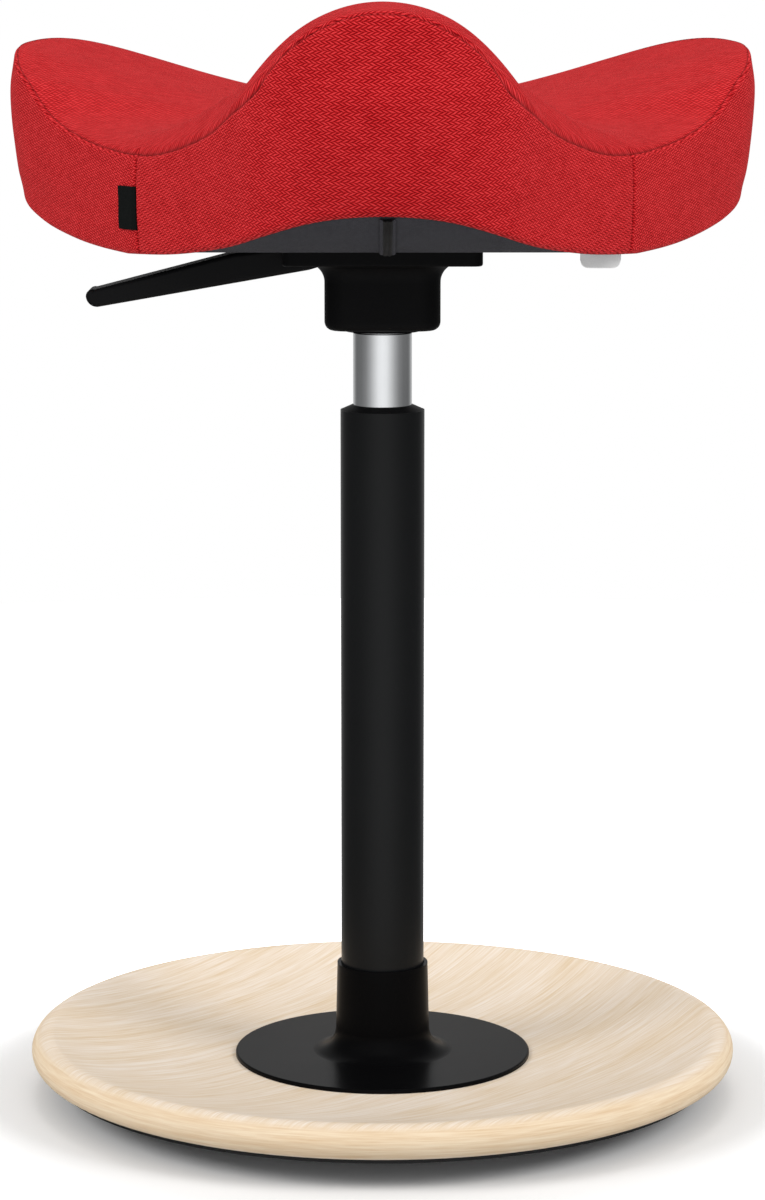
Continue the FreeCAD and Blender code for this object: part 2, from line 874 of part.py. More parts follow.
def seat_pieces():
    outer = plan_body(0.0)
    inner = plan_body(cover_thickness)
    saddle = saddle_body(0.0)
    under_saddle = saddle_body(cover_thickness)
    below = under_space(0.0)
    below_cover = under_space(cover_thickness)
    below_shell = under_space(cover_thickness + shell_thickness)
    top = outer.common(saddle).cut(under_saddle)
    band = outer.cut(inner).common(under_saddle).cut(below)
    right_seam = -side_seam_angle
    left_seam = -180.0 + side_seam_angle
    front = band.common(sector(left_seam, right_seam))
    right = band.common(sector(right_seam, 90.0))
    left = band.common(sector(90.0, 180.0 + side_seam_angle))
    cover = inner.common(below_cover).cut(below)
    pockets = tee_nut_pockets()
    cover = cover.cut(pockets)
    shell_plan = plan_body(cover_thickness + shell_inset)
    shell = shell_plan.common(below_shell).cut(below_cover)
    shell = shell.cut(pockets)
    foam = inner.common(under_saddle).cut(below_cover)
    foam = foam.cut(shell).cut(pockets)
    return {
        "top_panel": top,
        "front_panel": front,
        "left_panel": left,
        "right_panel": right,
        "under_cover": cover,
        "seat_shell": shell,
        "seat_foam": foam,
    }


def tee_nut_pockets():
    barrel = cylinder(tee_nut_radius, seat_base, bolt_tip())
    flange = cylinder(tee_nut_flange_radius, bolt_tip(), bolt_tip() + tee_nut_flange_thickness)
    pocket = barrel.fuse(flange)
    pockets = []
    for x, y in bolt_places():
        copy = pocket.copy()
        copy.translate(vec(x, y, 0))
        pockets.append(copy)
    return pockets[0].fuse(pockets[1:])


def under_zip():
    strip = Part.makeBox(
        zip_width,
        zip_end - zip_start,
        strip_tool_height,
        vec(-0.5 * zip_width, -zip_end, seat_base - strip_tool_drop),
    )
    return strip.common(under_space(-zip_gap)).cut(under_space(-zip_gap - zip_thickness))


def fabric_tab():
    foot = seat_base + tab_foot_height
    seam = math.radians(180.0 + side_seam_angle)
    normal = math.radians(210.0)
    side_way = vec(-math.sin(normal), math.cos(normal), 0)
    reach = side_reach / math.cos(seam - normal)
    seam_point = vec(reach * math.cos(seam), reach * math.sin(seam), foot)
    middle = seam_point.add(side_way.multiply(-(0.5 * tab_width + tab_seam_gap)))
    block = Part.makeBox(
        tab_tool_depth, tab_width, tab_height, vec(-0.5 * tab_tool_depth, -0.5 * tab_width, 0)
    )
    block.rotate(vec(0, 0, 0), vec(0, 0, 1), 210.0)
    block.translate(middle)
    skin = plan_body(-tab_thickness).cut(plan_body(0.0))
    return skin.common(block)


def care_label():
    drop_foot = seat_base - label_drop
    strip = Part.makeBox(
        label_width,
        label_thickness,
        strip_tool_height,
        vec(label_place_x - 0.5 * label_width, label_place_y, drop_foot),
    )
    return strip.common(under_space(0.0))


def all_parts():
    parts = {
        "base_disc": base_disc(),
        "base_tread": base_tread(),
        "base_flange": base_flange(),
        "flange_nuts": flange_nuts(),
        "base_screws": base_screws(),
        "column_tube": column_tube(),
        "column_end_plate": column_end_plate(),
        "guide_bush": guide_bush(),
        "lower_race": lower_race(),
        "upper_race": upper_race(),
        "thrust_balls": thrust_balls(),
        "ball_cage": ball_cage(),
        "bump_stop": bump_stop(),
        "piston_rod": piston_rod(),
        "piston": piston(),
        "piston_seal": piston_seal(),
        "rod_washer": rod_washer(),
        "rod_clip": rod_clip(),
        "gas_cylinder": gas_cylinder(),
        "pressure_tube": pressure_tube(),
        "rod_guide": rod_guide(),
        "rod_seal": rod_seal(),
        "valve_body": valve_body(),
        "seat_hub": seat_hub(),
        "lever_pin": lever_pin(),
        "hub_bolts": hub_bolts(),
        "tee_nuts": tee_nuts(),
        "release_lever": release_lever(),
        "release_pin": release_pin(),
        "under_zip": under_zip(),
        "fabric_tab": fabric_tab(),
        "care_label": care_label(),
    }
    parts.update(seat_pieces())
    return parts


os.makedirs("parts", exist_ok=True)
for name, shape in all_parts().items():
    shape.exportStep("parts/" + name + ".step")
    print(name, "solids", len(shape.Solids), "volume", round(shape.Volume, 1), "valid", shape.isValid())
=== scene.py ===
# Saddle stool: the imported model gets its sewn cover, its woods, rubber, paints and metals here, and
# stands in a plain white studio. Everything is in metres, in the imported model's own frame.
import bisect
import math

import bmesh
import bpy
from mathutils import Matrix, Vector, noise


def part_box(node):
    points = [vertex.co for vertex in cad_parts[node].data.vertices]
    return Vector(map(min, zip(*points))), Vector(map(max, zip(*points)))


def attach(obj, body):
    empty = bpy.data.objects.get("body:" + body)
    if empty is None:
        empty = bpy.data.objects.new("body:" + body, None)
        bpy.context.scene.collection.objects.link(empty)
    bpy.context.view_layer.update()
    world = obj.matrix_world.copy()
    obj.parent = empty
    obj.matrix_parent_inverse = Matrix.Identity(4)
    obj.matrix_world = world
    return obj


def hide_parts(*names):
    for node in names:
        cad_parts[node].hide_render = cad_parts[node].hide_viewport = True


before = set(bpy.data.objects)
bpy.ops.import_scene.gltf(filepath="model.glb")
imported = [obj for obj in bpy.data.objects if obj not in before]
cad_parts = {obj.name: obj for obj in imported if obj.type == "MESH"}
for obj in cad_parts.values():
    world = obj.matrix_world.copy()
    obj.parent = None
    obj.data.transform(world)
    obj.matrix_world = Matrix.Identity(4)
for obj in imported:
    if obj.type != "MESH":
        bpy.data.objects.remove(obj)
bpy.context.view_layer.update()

bl_info = {
    "name": "Saddle stool dressing",
    "version": (1, 0, 0),
    "blender": (4, 5, 0),
    "location": "View3D > Sidebar > Stool",
    "description": "Sews the cover of a saddle stool and gives each part its finish",
    "category": "Object",
}

MM = 0.001
SEAT_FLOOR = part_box("seat_hub")[1][2]


# Sizes and colours that a user may change

class StoolCoverSizes(bpy.types.PropertyGroup):
    """Sizes of the sewn cover"""

    corner_reach: bpy.props.FloatProperty(
        name="Corner reach", description="Distance from the column to a lobe's own centre",
        default=0.131, unit="LENGTH", precision=4)
    corner_radius: bpy.props.FloatProperty(
        name="Corner radius", description="Radius of a lobe seen from above",
        default=0.079, unit="LENGTH", precision=4)
    side_reach: bpy.props.FloatProperty(
        name="Side reach", description="Distance from the column to the middle of a side",
        default=0.147, unit="LENGTH", precision=4)
    side_seam_angle: bpy.props.FloatProperty(
        name="Side seam angle", description="Where the upright seams stand, behind the left and right",
        default=math.radians(36.2), subtype="ANGLE")
    right_seam_shift: bpy.props.FloatProperty(
        name="Right seam shift", description="How much further back the right upright seam stands",
        default=math.radians(1.7), subtype="ANGLE")
    seam_depth: bpy.props.FloatProperty(
        name="Seam depth", description="How far the two cloths turn in at a seam",
        default=0.0013, unit="LENGTH", precision=5)
    seam_reach: bpy.props.FloatProperty(
        name="Seam reach", description="How far from the seam the cloth turns in",
        default=0.0009, unit="LENGTH", precision=5)
    hem_roll: bpy.props.FloatProperty(
        name="Hem roll", description="Radius at which the side panels turn under the seat",
        default=0.0035, unit="LENGTH", precision=5)
    cloth_thickness: bpy.props.FloatProperty(
        name="Cloth thickness", description="Thickness of the woven cover",
        default=0.0011, unit="LENGTH", precision=5)


class StoolCoverColours(bpy.types.PropertyGroup):
    """Colours of the cloths and ribbons, as sRGB hex"""

    # The gap colours are painted shade between the yarns and the crown colours a painted highlight on their
    # tops; the yarn colours are the cloth's own
    red_gap: bpy.props.StringProperty(
        name="Red, between yarns", description="Shade between the red yarns", default="#6E0006")
    red_yarn: bpy.props.StringProperty(
        name="Red yarn", description="Body of the red yarn", default="#BC1218")
    red_crown: bpy.props.StringProperty(
        name="Red, crown", description="Top of the red yarn, where its fibres catch light",
        default="#DC3A3E")
    grey_gap: bpy.props.StringProperty(
        name="Grey, between yarns", description="Shade between the grey yarns", default="#1C1C1F")
    grey_yarn: bpy.props.StringProperty(
        name="Grey yarn", description="Body of the grey yarn", default="#38383D")
    grey_crown: bpy.props.StringProperty(
        name="Grey, crown", description="Top of the grey yarn", default="#55555B")
    ribbon: bpy.props.StringProperty(
        name="Ribbon", description="Black tab at the seam", default="#0E1110")
    label: bpy.props.StringProperty(
        name="Label", description="White bonded-fibre label", default="#FFFFFF")


class StoolHardwareColours(bpy.types.PropertyGroup):
    """Colours of the wood, paint, rubber and plastic, as sRGB hex"""

    ash_pale: bpy.props.StringProperty(
        name="Ash, pale", description="Early wood of the whitewashed ash", default="#F3E6D8")
    ash_dark: bpy.props.StringProperty(
        name="Ash, dark", description="Late wood of the whitewashed ash", default="#E0C7A4")
    ply_edge: bpy.props.StringProperty(
        name="Edge band", description="Edge band around the disc", default="#F1DEC2")
    tread: bpy.props.StringProperty(
        name="Tread rubber", description="Rubber under the disc", default="#1B1B1C")
    paint: bpy.props.StringProperty(
        name="Black paint", description="Powder coat on the column tube", default="#131415")
    flange: bpy.props.StringProperty(
        name="Flange enamel", description="Enamel on the flange and its collar", default="#0A0A0B")
    casting: bpy.props.StringProperty(
        name="Casting paint", description="Paint on the hub casting", default="#0E0E0F")
    plastic: bpy.props.StringProperty(
        name="Black plastic", description="Moulded nylon of the lever and bush", default="#111112")


# Small helpers

def linear(hex_text):
    """An sRGB hex colour as the linear values that a shader's socket takes"""
    values = [int(hex_text[i:i + 2], 16) / 255.0 for i in (1, 3, 5)]
    return tuple(
        v / 12.92 if v <= 0.04045 else ((v + 0.055) / 1.055) ** 2.4 for v in values) + (1.0,)


def add_node(tree, kind, settings=None, sockets=None):
    """Add one node with its settings; a socket takes a value, an output, or a node's first output"""
    node = tree.nodes.new(kind)
    for name, value in (settings or {}).items():
        setattr(node, name, value)
    for name, value in (sockets or {}).items():
        if isinstance(value, bpy.types.Node):
            value = value.outputs[0]
        if isinstance(value, bpy.types.NodeSocket):
            tree.links.new(value, node.inputs[name])
        else:
            node.inputs[name].default_value = value
    return node


def new_material(name):
    """An empty material with its Principled shader and its output"""
    material = bpy.data.materials.new(name)
    material.use_nodes = True
    tree = material.node_tree
    tree.nodes.clear()
    shader = add_node(tree, "ShaderNodeBsdfPrincipled")
    output = add_node(tree, "ShaderNodeOutputMaterial")
    tree.links.new(shader.outputs["BSDF"], output.inputs["Surface"])
    return material, tree, shader


class SmoothLine:
    """A smooth curve through (place, value) pairs, straight beyond its ends"""

    def __init__(self, table):
        self.places = [place for place, value in table]
        self.values = [value for place, value in table]
        last = len(table) - 1
        self.slopes = []
        for i in range(last + 1):
            low, high = max(i - 1, 0), min(i + 1, last)
            self.slopes.append(
                (self.values[high] - self.values[low]) / (self.places[high] - self.places[low]))

    def at(self, place):
        i = bisect.bisect_right(self.places, place) - 1
        if i < 0:
            return self.values[0] + self.slopes[0] * (place - self.places[0])
        if i >= len(self.places) - 1:
            return self.values[-1] + self.slopes[-1] * (place - self.places[-1])
        span = self.places[i + 1] - self.places[i]
        t = (place - self.places[i]) / span
        t2 = t * t
        t3 = t2 * t
        return (
            (2 * t3 - 3 * t2 + 1) * self.values[i]
            + (t3 - 2 * t2 + t) * span * self.slopes[i]
            + (3 * t2 - 2 * t3) * self.values[i + 1]
            + (t3 - t2) * span * self.slopes[i + 1])


def crowd_ends(share, pull=0.9):
    """Spread shares from 0 to 1 so that they lie closer together near both ends"""
    return share - pull * math.sin(2.0 * math.pi * share) / (2.0 * math.pi)


def crowd_start(share, pull=0.9):
    """Spread shares from 0 to 1 so that they lie closer together near 0"""
    return share - pull * math.sin(math.pi * share) / math.pi


def finish_piece(name, form, material):
    """Turn a bmesh into a smooth piece with its material, riding on the seat"""
    for face in form.faces:
        face.smooth = True
    mesh = bpy.data.meshes.new(name)
    form.to_mesh(mesh)
    form.free()
    piece = bpy.data.objects.new(name, mesh)
    bpy.context.scene.collection.objects.link(piece)
    mesh.materials.append(material)
    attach(piece, "seat")
    return piece


def paint_node(node_name, material):
    """Give a carried-over node its finish"""
    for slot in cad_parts[node_name].material_slots:
        slot.material = material


# The seat's shape: its plan, the levels of its side, and its saddle

# height above the seat's floor, change of the lobes' reach, change of the sides' reach, in mm
SIDE_LEVELS = [
    (-14, -9.0, -1.0), (2, -8.5, -0.5), (14, -7.5, 0.5), (25, -5.5, 0.8), (34, -2.8, 0.8),
    (45, -0.8, 0.3), (62, 1.2, 0.0), (78, 1.5, 0.0), (92, -0.8, 0.0), (108, -2.5, 0.0),
    (120, -4.0, 0.0), (140, -6.5, 0.0)]
# place from front to rear, height of the middle, rise of the edge, in mm
SADDLE_LINE = [
    (-228, 110.8, -72.5), (-207, 116.9, -64.4), (-190, 120.1, -49.5), (-172, 120.7, -52.2),
    (-152, 110.5, -51.0), (-130, 100.6, -47.0), (-108, 89.6, -39.8), (-86, 78.8, -29.9),
    (-60, 68.8, -18.2), (-30, 62.1, -6.8), (0, 59.5, 5.1), (30, 59.9, 23.7), (60, 62.0, 34.2),
    (95, 65.0, 38.4), (130, 67.6, 43.9), (165, 68.4, 49.4)]
# distance along a lobe, rise of the underside, in mm
UNDERSIDE_LINE = [
    (-300, 0.0), (0, 0.0), (40, 0.0), (60, 0.3), (105, 2.4), (133, 5.5), (160, 10.3),
    (183, 17.2), (205, 26.5), (230, 35.5), (260, 46.3)]

# how square the saddle's arch is: at the front, more so on the flanks of the front lobe, and at the
# rear; the flank's place and length, and where the front's arch turns into the rear's, in mm
FRONT_SQUARE, FLANK_SQUARE, REAR_SQUARE = 0.6, 0.24, 1.35
FLANK_PLACE, FLANK_LENGTH = -152.0, 26.0
ARCH_TURN, ARCH_TURN_LENGTH = -100.0, 130.0
NARROWEST_HALF = 0.062

LOBE_TURNS = [math.radians(a) for a in (-90.0, 30.0, 150.0)]
LOBE_REACH_LINE = SmoothLine([(z, lobe) for z, lobe, side in SIDE_LEVELS])
SIDE_REACH_LINE = SmoothLine([(z, side) for z, lobe, side in SIDE_LEVELS])
SADDLE_MIDDLE_LINE = SmoothLine([(y, middle) for y, middle, rise in SADDLE_LINE])
SADDLE_RISE_LINE = SmoothLine([(y, rise) for y, middle, rise in SADDLE_LINE])
UNDERSIDE_RISE_LINE = SmoothLine(UNDERSIDE_LINE)


def plan_distance(turn, reach, side, radius):
    """Distance from the column to the plan's outline in one direction: lobes joined by bowed sides"""
    lobe = min(LOBE_TURNS, key=lambda a: abs(math.remainder(turn - a, 2.0 * math.pi)))
    off = abs(math.remainder(turn - lobe, 2.0 * math.pi))
    bow = side - radius
    back = (reach ** 2 - bow ** 2) / (2.0 * bow - reach)
    side_radius = side + back
    third = math.radians(60.0)
    to_lobe = Vector((reach + back * math.cos(third), back * math.sin(third))).normalized()
    tangent = Vector((reach, 0.0)) + radius * to_lobe
    if off <= math.atan2(tangent.y, tangent.x):
        return reach * math.cos(off) + math.sqrt(radius ** 2 - (reach * math.sin(off)) ** 2)
    off = third - off
    return -back * math.cos(off) + math.sqrt(side_radius ** 2 - (back * math.sin(off)) ** 2)


def side_place(sizes, turn, height, inset):
    """A place on the seat's side, in metres: inset is how far it lies inside the cover's face"""
    level = (height - SEAT_FLOOR) / MM
    reach = sizes.corner_reach + LOBE_REACH_LINE.at(level) * MM
    side = sizes.side_reach + SIDE_REACH_LINE.at(level) * MM - inset
    away = plan_distance(turn, reach, side, sizes.corner_radius - inset)
    return Vector((away * math.cos(turn), away * math.sin(turn), height))


def saddle_height(sizes, x, y):
    """Height of the saddle's face over a place"""
    across = sizes.corner_reach * math.cos(math.radians(30.0)) + sizes.corner_radius
    half = (sizes.side_reach + 0.5 * y) / math.cos(math.radians(30.0))
    half = min(max(half, NARROWEST_HALF), across)
    share = abs(x) / half
    square = FRONT_SQUARE + FLANK_SQUARE * math.exp(-((y / MM - FLANK_PLACE) / FLANK_LENGTH) ** 2)
    front = square * share ** 2 + (1.0 - square) * share ** 5
    rear = REAR_SQUARE * share ** 2 + (1.0 - REAR_SQUARE) * share ** 4
    mix = min(max((y / MM - ARCH_TURN) / ARCH_TURN_LENGTH, 0.0), 1.0)
    mix = mix * mix * (3.0 - 2.0 * mix)
    arch = (1.0 - mix) * front + mix * rear
    return SEAT_FLOOR + (SADDLE_MIDDLE_LINE.at(y / MM) + SADDLE_RISE_LINE.at(y / MM) * arch) * MM


def underside_height(x, y):
    """Height of the underside over a place"""
    rise = max(
        UNDERSIDE_RISE_LINE.at((x * math.cos(a) + y * math.sin(a)) / MM) for a in LOBE_TURNS)
    return SEAT_FLOOR + rise * MM


def seam_height(sizes, turn):
    """Height at which the side meets the saddle, found by halving"""
    low, high = SEAT_FLOOR + 0.02, SEAT_FLOOR + 0.135
    for step in range(26):
        middle = 0.5 * (low + high)
        spot = side_place(sizes, turn, middle, 0.0)
        if middle < saddle_height(sizes, spot.x, spot.y):
            low = middle
        else:
            high = middle
    return low


def hem_height(sizes, turn):
    """Height at which the side meets the underside, found by halving"""
    low, high = SEAT_FLOOR - 0.01, SEAT_FLOOR + 0.05
    for step in range(24):
        middle = 0.5 * (low + high)
        spot = side_place(sizes, turn, middle, 0.0)
        if middle < underside_height(spot.x, spot.y):
            low = middle
        else:
            high = middle
    return low


def upright_seams(sizes):
    """Turns of the three upright seams: right, rear and left"""
    return [
        -sizes.side_seam_angle + sizes.right_seam_shift,
        math.radians(90.0),
        math.pi + sizes.side_seam_angle]


def foam_swell(spot):
    """Slow unevenness of upholstered foam, in metres"""
    return 0.00045 * noise.noise(spot * 14.0) + 0.0002 * noise.noise(spot * 45.0)


def seam_pucker(sizes, turn, spot):
    """How far a side panel is drawn in near an upright seam"""
    drawn = 0.0
    for seam in upright_seams(sizes):
        away = abs(math.remainder(turn - seam, 2.0 * math.pi)) * math.hypot(spot.x, spot.y)
        drawn += sizes.seam_depth * math.exp(-(away / sizes.seam_reach) ** 2)
        ripple = 0.5 + 0.5 * noise.noise(Vector((seam, 0.0, spot.z * 120.0)))
        drawn += (0.0001 + 0.0003 * ripple) * math.exp(-(away / 0.005) ** 2)
    return drawn


class SeatOutline:
    """Seam and hem heights around the seat, worked out once"""

    def __init__(self, sizes, steps=720):
        self.steps = steps
        self.seam = [seam_height(sizes, 2.0 * math.pi * i / steps) for i in range(steps)]
        self.hem = [hem_height(sizes, 2.0 * math.pi * i / steps) for i in range(steps)]
        self.length = [0.0]
        for i in range(1, steps + 1):
            here = side_place(sizes, 2.0 * math.pi * i / steps, SEAT_FLOOR + 0.06, 0.0)
            before = side_place(sizes, 2.0 * math.pi * (i - 1) / steps, SEAT_FLOOR + 0.06, 0.0)
            self.length.append(self.length[-1] + (here - before).length)

    def read(self, values, turn):
        place = (turn / (2.0 * math.pi)) % 1.0 * self.steps
        i = int(place)
        share = place - i
        return values[i % self.steps] * (1.0 - share) + values[(i + 1) % self.steps] * share

    def run(self, turn):
        """Distance along the side from the right, growing past a full turn"""
        turns = math.floor(turn / (2.0 * math.pi))
        place = (turn / (2.0 * math.pi) - turns) * self.steps
        i = int(place)
        share = place - i
        there = self.length[i] * (1.0 - share) + self.length[min(i + 1, self.steps)] * share
        return turns * self.length[-1] + there


def side_spot(sizes, outline, turn, share):
    """A place on a side panel, from the hem at 0 to the top seam at 1, with its distance up the cloth"""
    foot = outline.read(outline.hem, turn) - 0.0008
    top = outline.read(outline.seam, turn) - 0.0004
    height = foot + (top - foot) * share
    flat = side_place(sizes, turn, height, 0.0)
    over = height - foot
    roll = sizes.hem_roll
    inset = -foam_swell(flat)
    if over < roll:
        inset += roll - math.sqrt(roll ** 2 - (roll - over) ** 2)
    inset += sizes.seam_depth * math.exp(-((top - height) / sizes.seam_reach) ** 2)
    inset += 0.0004 * math.exp(-(top - height) / 0.004)
    inset += seam_pucker(sizes, turn, flat)
    return side_place(sizes, turn, height, inset)


def cloth_panel(name, across, along, place, material, weld=False):
    """A sheet of cloth: a grid whose corners place() moves. It gives each its point, its place on the cloth
    map in metres, and, from its distance to the nearest seam, a painted shade that darkens the cloth along
    that seam"""
    form = bmesh.new()
    bmesh.ops.create_grid(form, x_segments=across, y_segments=along, size=0.5)
    cloth = form.loops.layers.uv.new("cloth")
    shade = form.verts.layers.float.new("seam_shade")
    marks = {}
    for vert in form.verts:
        point, mark, away = place(vert.co.x + 0.5, vert.co.y + 0.5)
        vert.co = point
        # Painted shade: seam_shade is 1 at a seam and fades within about half a millimetre, where the
        # seam's recess is shaded
        vert[shade] = math.exp(-(away / 0.0005) ** 2)
        marks[vert] = mark
    for face in form.faces:
        for loop in face.loops:
            loop[cloth].uv = marks[loop.vert]
    if weld:
        bmesh.ops.remove_doubles(form, verts=form.verts[:], dist=1e-6)
    return finish_piece(name, form, material)


def thicken(piece, thickness):
    """Give a sheet its thickness, inwards"""
    wall = piece.modifiers.new("cloth thickness", "SOLIDIFY")
    wall.thickness = thickness
    wall.offset = -1.0
    wall.use_rim = True


def on_cloth(across, up, lay):
    """A place on the cloth map, whose rows lie at an angle to the panel's own level"""
    return (across * math.cos(lay) - up * math.sin(lay), across * math.sin(lay) + up * math.cos(lay))


# Materials

MATH = "ShaderNodeMath"
VECTOR = "ShaderNodeVectorMath"
NOISE = "ShaderNodeTexNoise"


def cloth_wobble(tree, marks, scale, amount):
    """The cloth map in millimetres, with the slight unevenness of woven yarn"""
    sized = add_node(tree, VECTOR, {"operation": "SCALE"}, {0: marks, "Scale": 1000.0})
    uneven = add_node(
        tree, NOISE, {"noise_dimensions": "2D"}, {"Vector": sized, "Scale": scale, "Detail": 2.0})
    centred = add_node(
        tree, VECTOR, {"operation": "SUBTRACT"}, {0: uneven.outputs["Color"], 1: (0.5, 0.5, 0.5)})
    return add_node(
        tree, VECTOR, {"operation": "MULTIPLY_ADD"}, {0: centred, 1: (amount, amount, 0.0), 2: sized})


def slanted_weave(tree, marks, row, pitch, slant):
    """Height of a cloth whose yarns slant one way in one row, and the other way in the next, half a
    stitch aside"""
    parts = add_node(tree, "ShaderNodeSeparateXYZ", {}, {0: marks})
    rows = add_node(tree, MATH, {"operation": "DIVIDE"}, {0: parts.outputs[1], 1: row})
    number = add_node(tree, MATH, {"operation": "FLOOR"}, {0: rows})
    inside = add_node(tree, MATH, {"operation": "FRACT"}, {0: rows})
    across = add_node(tree, MATH, {"operation": "SUBTRACT"}, {0: inside, 1: 0.5})
    even = add_node(tree, MATH, {"operation": "FLOORED_MODULO"}, {0: number, 1: 2.0})
    lean = add_node(tree, MATH, {"operation": "MULTIPLY_ADD"}, {0: even, 1: 2.0 * slant, 2: -slant})
    columns = add_node(tree, MATH, {"operation": "DIVIDE"}, {0: parts.outputs[0], 1: pitch})
    aside = add_node(tree, MATH, {"operation": "MULTIPLY_ADD"}, {0: even, 1: 0.5, 2: columns})
    phase = add_node(tree, MATH, {"operation": "MULTIPLY_ADD"}, {0: lean, 1: across, 2: aside})
    share = add_node(tree, MATH, {"operation": "FRACT"}, {0: phase})
    angle = add_node(tree, MATH, {"operation": "MULTIPLY"}, {0: share, 1: math.pi})
    hump = add_node(tree, MATH, {"operation": "SINE"}, {0: angle})
    reach = add_node(tree, MATH, {"operation": "MULTIPLY"}, {0: across, 1: 2.0})
    edge = add_node(tree, MATH, {"operation": "ABSOLUTE"}, {0: reach})
    drop = add_node(tree, MATH, {"operation": "POWER"}, {0: edge, 1: 5.0})
    crest = add_node(tree, MATH, {"operation": "MULTIPLY_ADD"}, {0: drop, 1: -0.5, 2: 1.0})
    height = add_node(tree, MATH, {"operation": "MULTIPLY"}, {0: hump, 1: crest})
    column = add_node(tree, MATH, {"operation": "FLOOR"}, {0: phase})
    return height, add_node(tree, "ShaderNodeCombineXYZ", {}, {0: column, 1: number})


def woven_cloth(name, gap, yarn, crown, glow, row, pitch, slant, bump_depth, fuzz):
    """Woven polyester upholstery: matt, with a soft sheen of fibre ends, painted shade between its yarns, a
    painted highlight on their crowns, and painted shade along its seams
    """
    material, tree, shader = new_material(name)
    marks = add_node(tree, "ShaderNodeUVMap", {"uv_map": "cloth"})
    moved = cloth_wobble(tree, marks, 0.35, 0.5)
    height, stitch = slanted_weave(tree, moved, row, pitch, slant)
    own = add_node(tree, "ShaderNodeTexWhiteNoise", {"noise_dimensions": "2D"}, {"Vector": stitch})
    fibre = add_node(
        tree, NOISE, {"noise_dimensions": "2D"}, {"Vector": moved, "Scale": 3.0, "Detail": 2.0})
    slow = add_node(
        tree, NOISE, {"noise_dimensions": "2D"}, {"Vector": moved, "Scale": 0.05, "Detail": 3.0})
    # A place's tone: the height of its yarn, painted as shade between the yarns and a highlight on their
    # crowns, then the stitch's own dye, its fibres, and slow unevenness
    level = height
    for source, share in ((own, 0.18), (fibre, 0.4), (slow, 0.12)):
        centred = add_node(tree, MATH, {"operation": "SUBTRACT"}, {0: source, 1: 0.5})
        level = add_node(tree, MATH, {"operation": "MULTIPLY_ADD"}, {0: centred, 1: share, 2: level})
    # The ramp paints shade in the low gaps and a highlight on the high crowns; the middle colour is the
    # yarn's own
    shades = add_node(tree, "ShaderNodeValToRGB", {}, {"Fac": level})
    ramp = shades.color_ramp
    ramp.elements[0].position = 0.1
    ramp.elements[0].color = linear(gap)
    ramp.elements[1].position = 1.0
    ramp.elements[1].color = linear(crown)
    middle = ramp.elements.new(0.63)
    middle.color = linear(yarn)
    # Painted shade along the seams: the colour is darkened by up to 60% where the seam_shade attribute is 1
    painted_seam_shade = add_node(tree, "ShaderNodeAttribute", {"attribute_name": "seam_shade"})
    unshaded_share = add_node(
        tree, MATH, {"operation": "MULTIPLY_ADD"}, {0: painted_seam_shade.outputs["Fac"], 1: -0.6, 2: 1.0})
    shaded = add_node(tree, VECTOR, {"operation": "SCALE"}, {0: shades, "Scale": unshaded_share})
    tree.links.new(shaded.outputs[0], shader.inputs["Base Color"])
    raised = add_node(tree, MATH, {"operation": "MULTIPLY_ADD"}, {0: fibre, 1: 0.25, 2: height})
    bump = add_node(
        tree, "ShaderNodeBump", {}, {"Strength": 0.8, "Distance": bump_depth, "Height": raised})
    tree.links.new(bump.outputs["Normal"], shader.inputs["Normal"])
    shader.inputs["Roughness"].default_value = 0.92
    shader.inputs["Specular IOR Level"].default_value = 0.12
    shader.inputs["Sheen Weight"].default_value = fuzz
    shader.inputs["Sheen Roughness"].default_value = 0.45
    shader.inputs["Sheen Tint"].default_value = linear(glow)
    return material


def polyester_ribbon(name, colour):
    """Woven polyester ribbon: fine ribs across it, 0.6 mm apart, with painted highlight on their crests and
    painted shade in their hollows, and a dull gloss
    """
    material, tree, shader = new_material(name)
    marks = add_node(tree, "ShaderNodeUVMap", {"uv_map": "cloth"})
    moved = cloth_wobble(tree, marks, 0.9, 0.12)
    parts = add_node(tree, "ShaderNodeSeparateXYZ", {}, {0: moved})
    waves = []
    for axis, spacing in ((1, 0.6), (0, 0.5)):
        angle = add_node(
            tree, MATH, {"operation": "MULTIPLY"}, {0: parts.outputs[axis], 1: 2.0 * math.pi / spacing})
        waves.append(add_node(tree, MATH, {"operation": "SINE"}, {0: angle}))
    height = add_node(tree, MATH, {"operation": "MULTIPLY_ADD"}, {0: waves[1], 1: 0.35, 2: waves[0]})
    # Painted shade and highlight: the colour is scaled up on each rib's crest and down in its hollow
    light = add_node(tree, MATH, {"operation": "MULTIPLY_ADD"}, {0: height, 1: 0.1, 2: 1.0})
    tint = add_node(tree, VECTOR, {"operation": "SCALE"}, {0: linear(colour)[:3], "Scale": light})
    tree.links.new(tint.outputs[0], shader.inputs["Base Color"])
    bump = add_node(tree, "ShaderNodeBump", {}, {"Strength": 0.5, "Distance": 0.0001, "Height": height})
    tree.links.new(bump.outputs["Normal"], shader.inputs["Normal"])
    shader.inputs["Roughness"].default_value = 0.75
    shader.inputs["Specular IOR Level"].default_value = 0.12
    return material


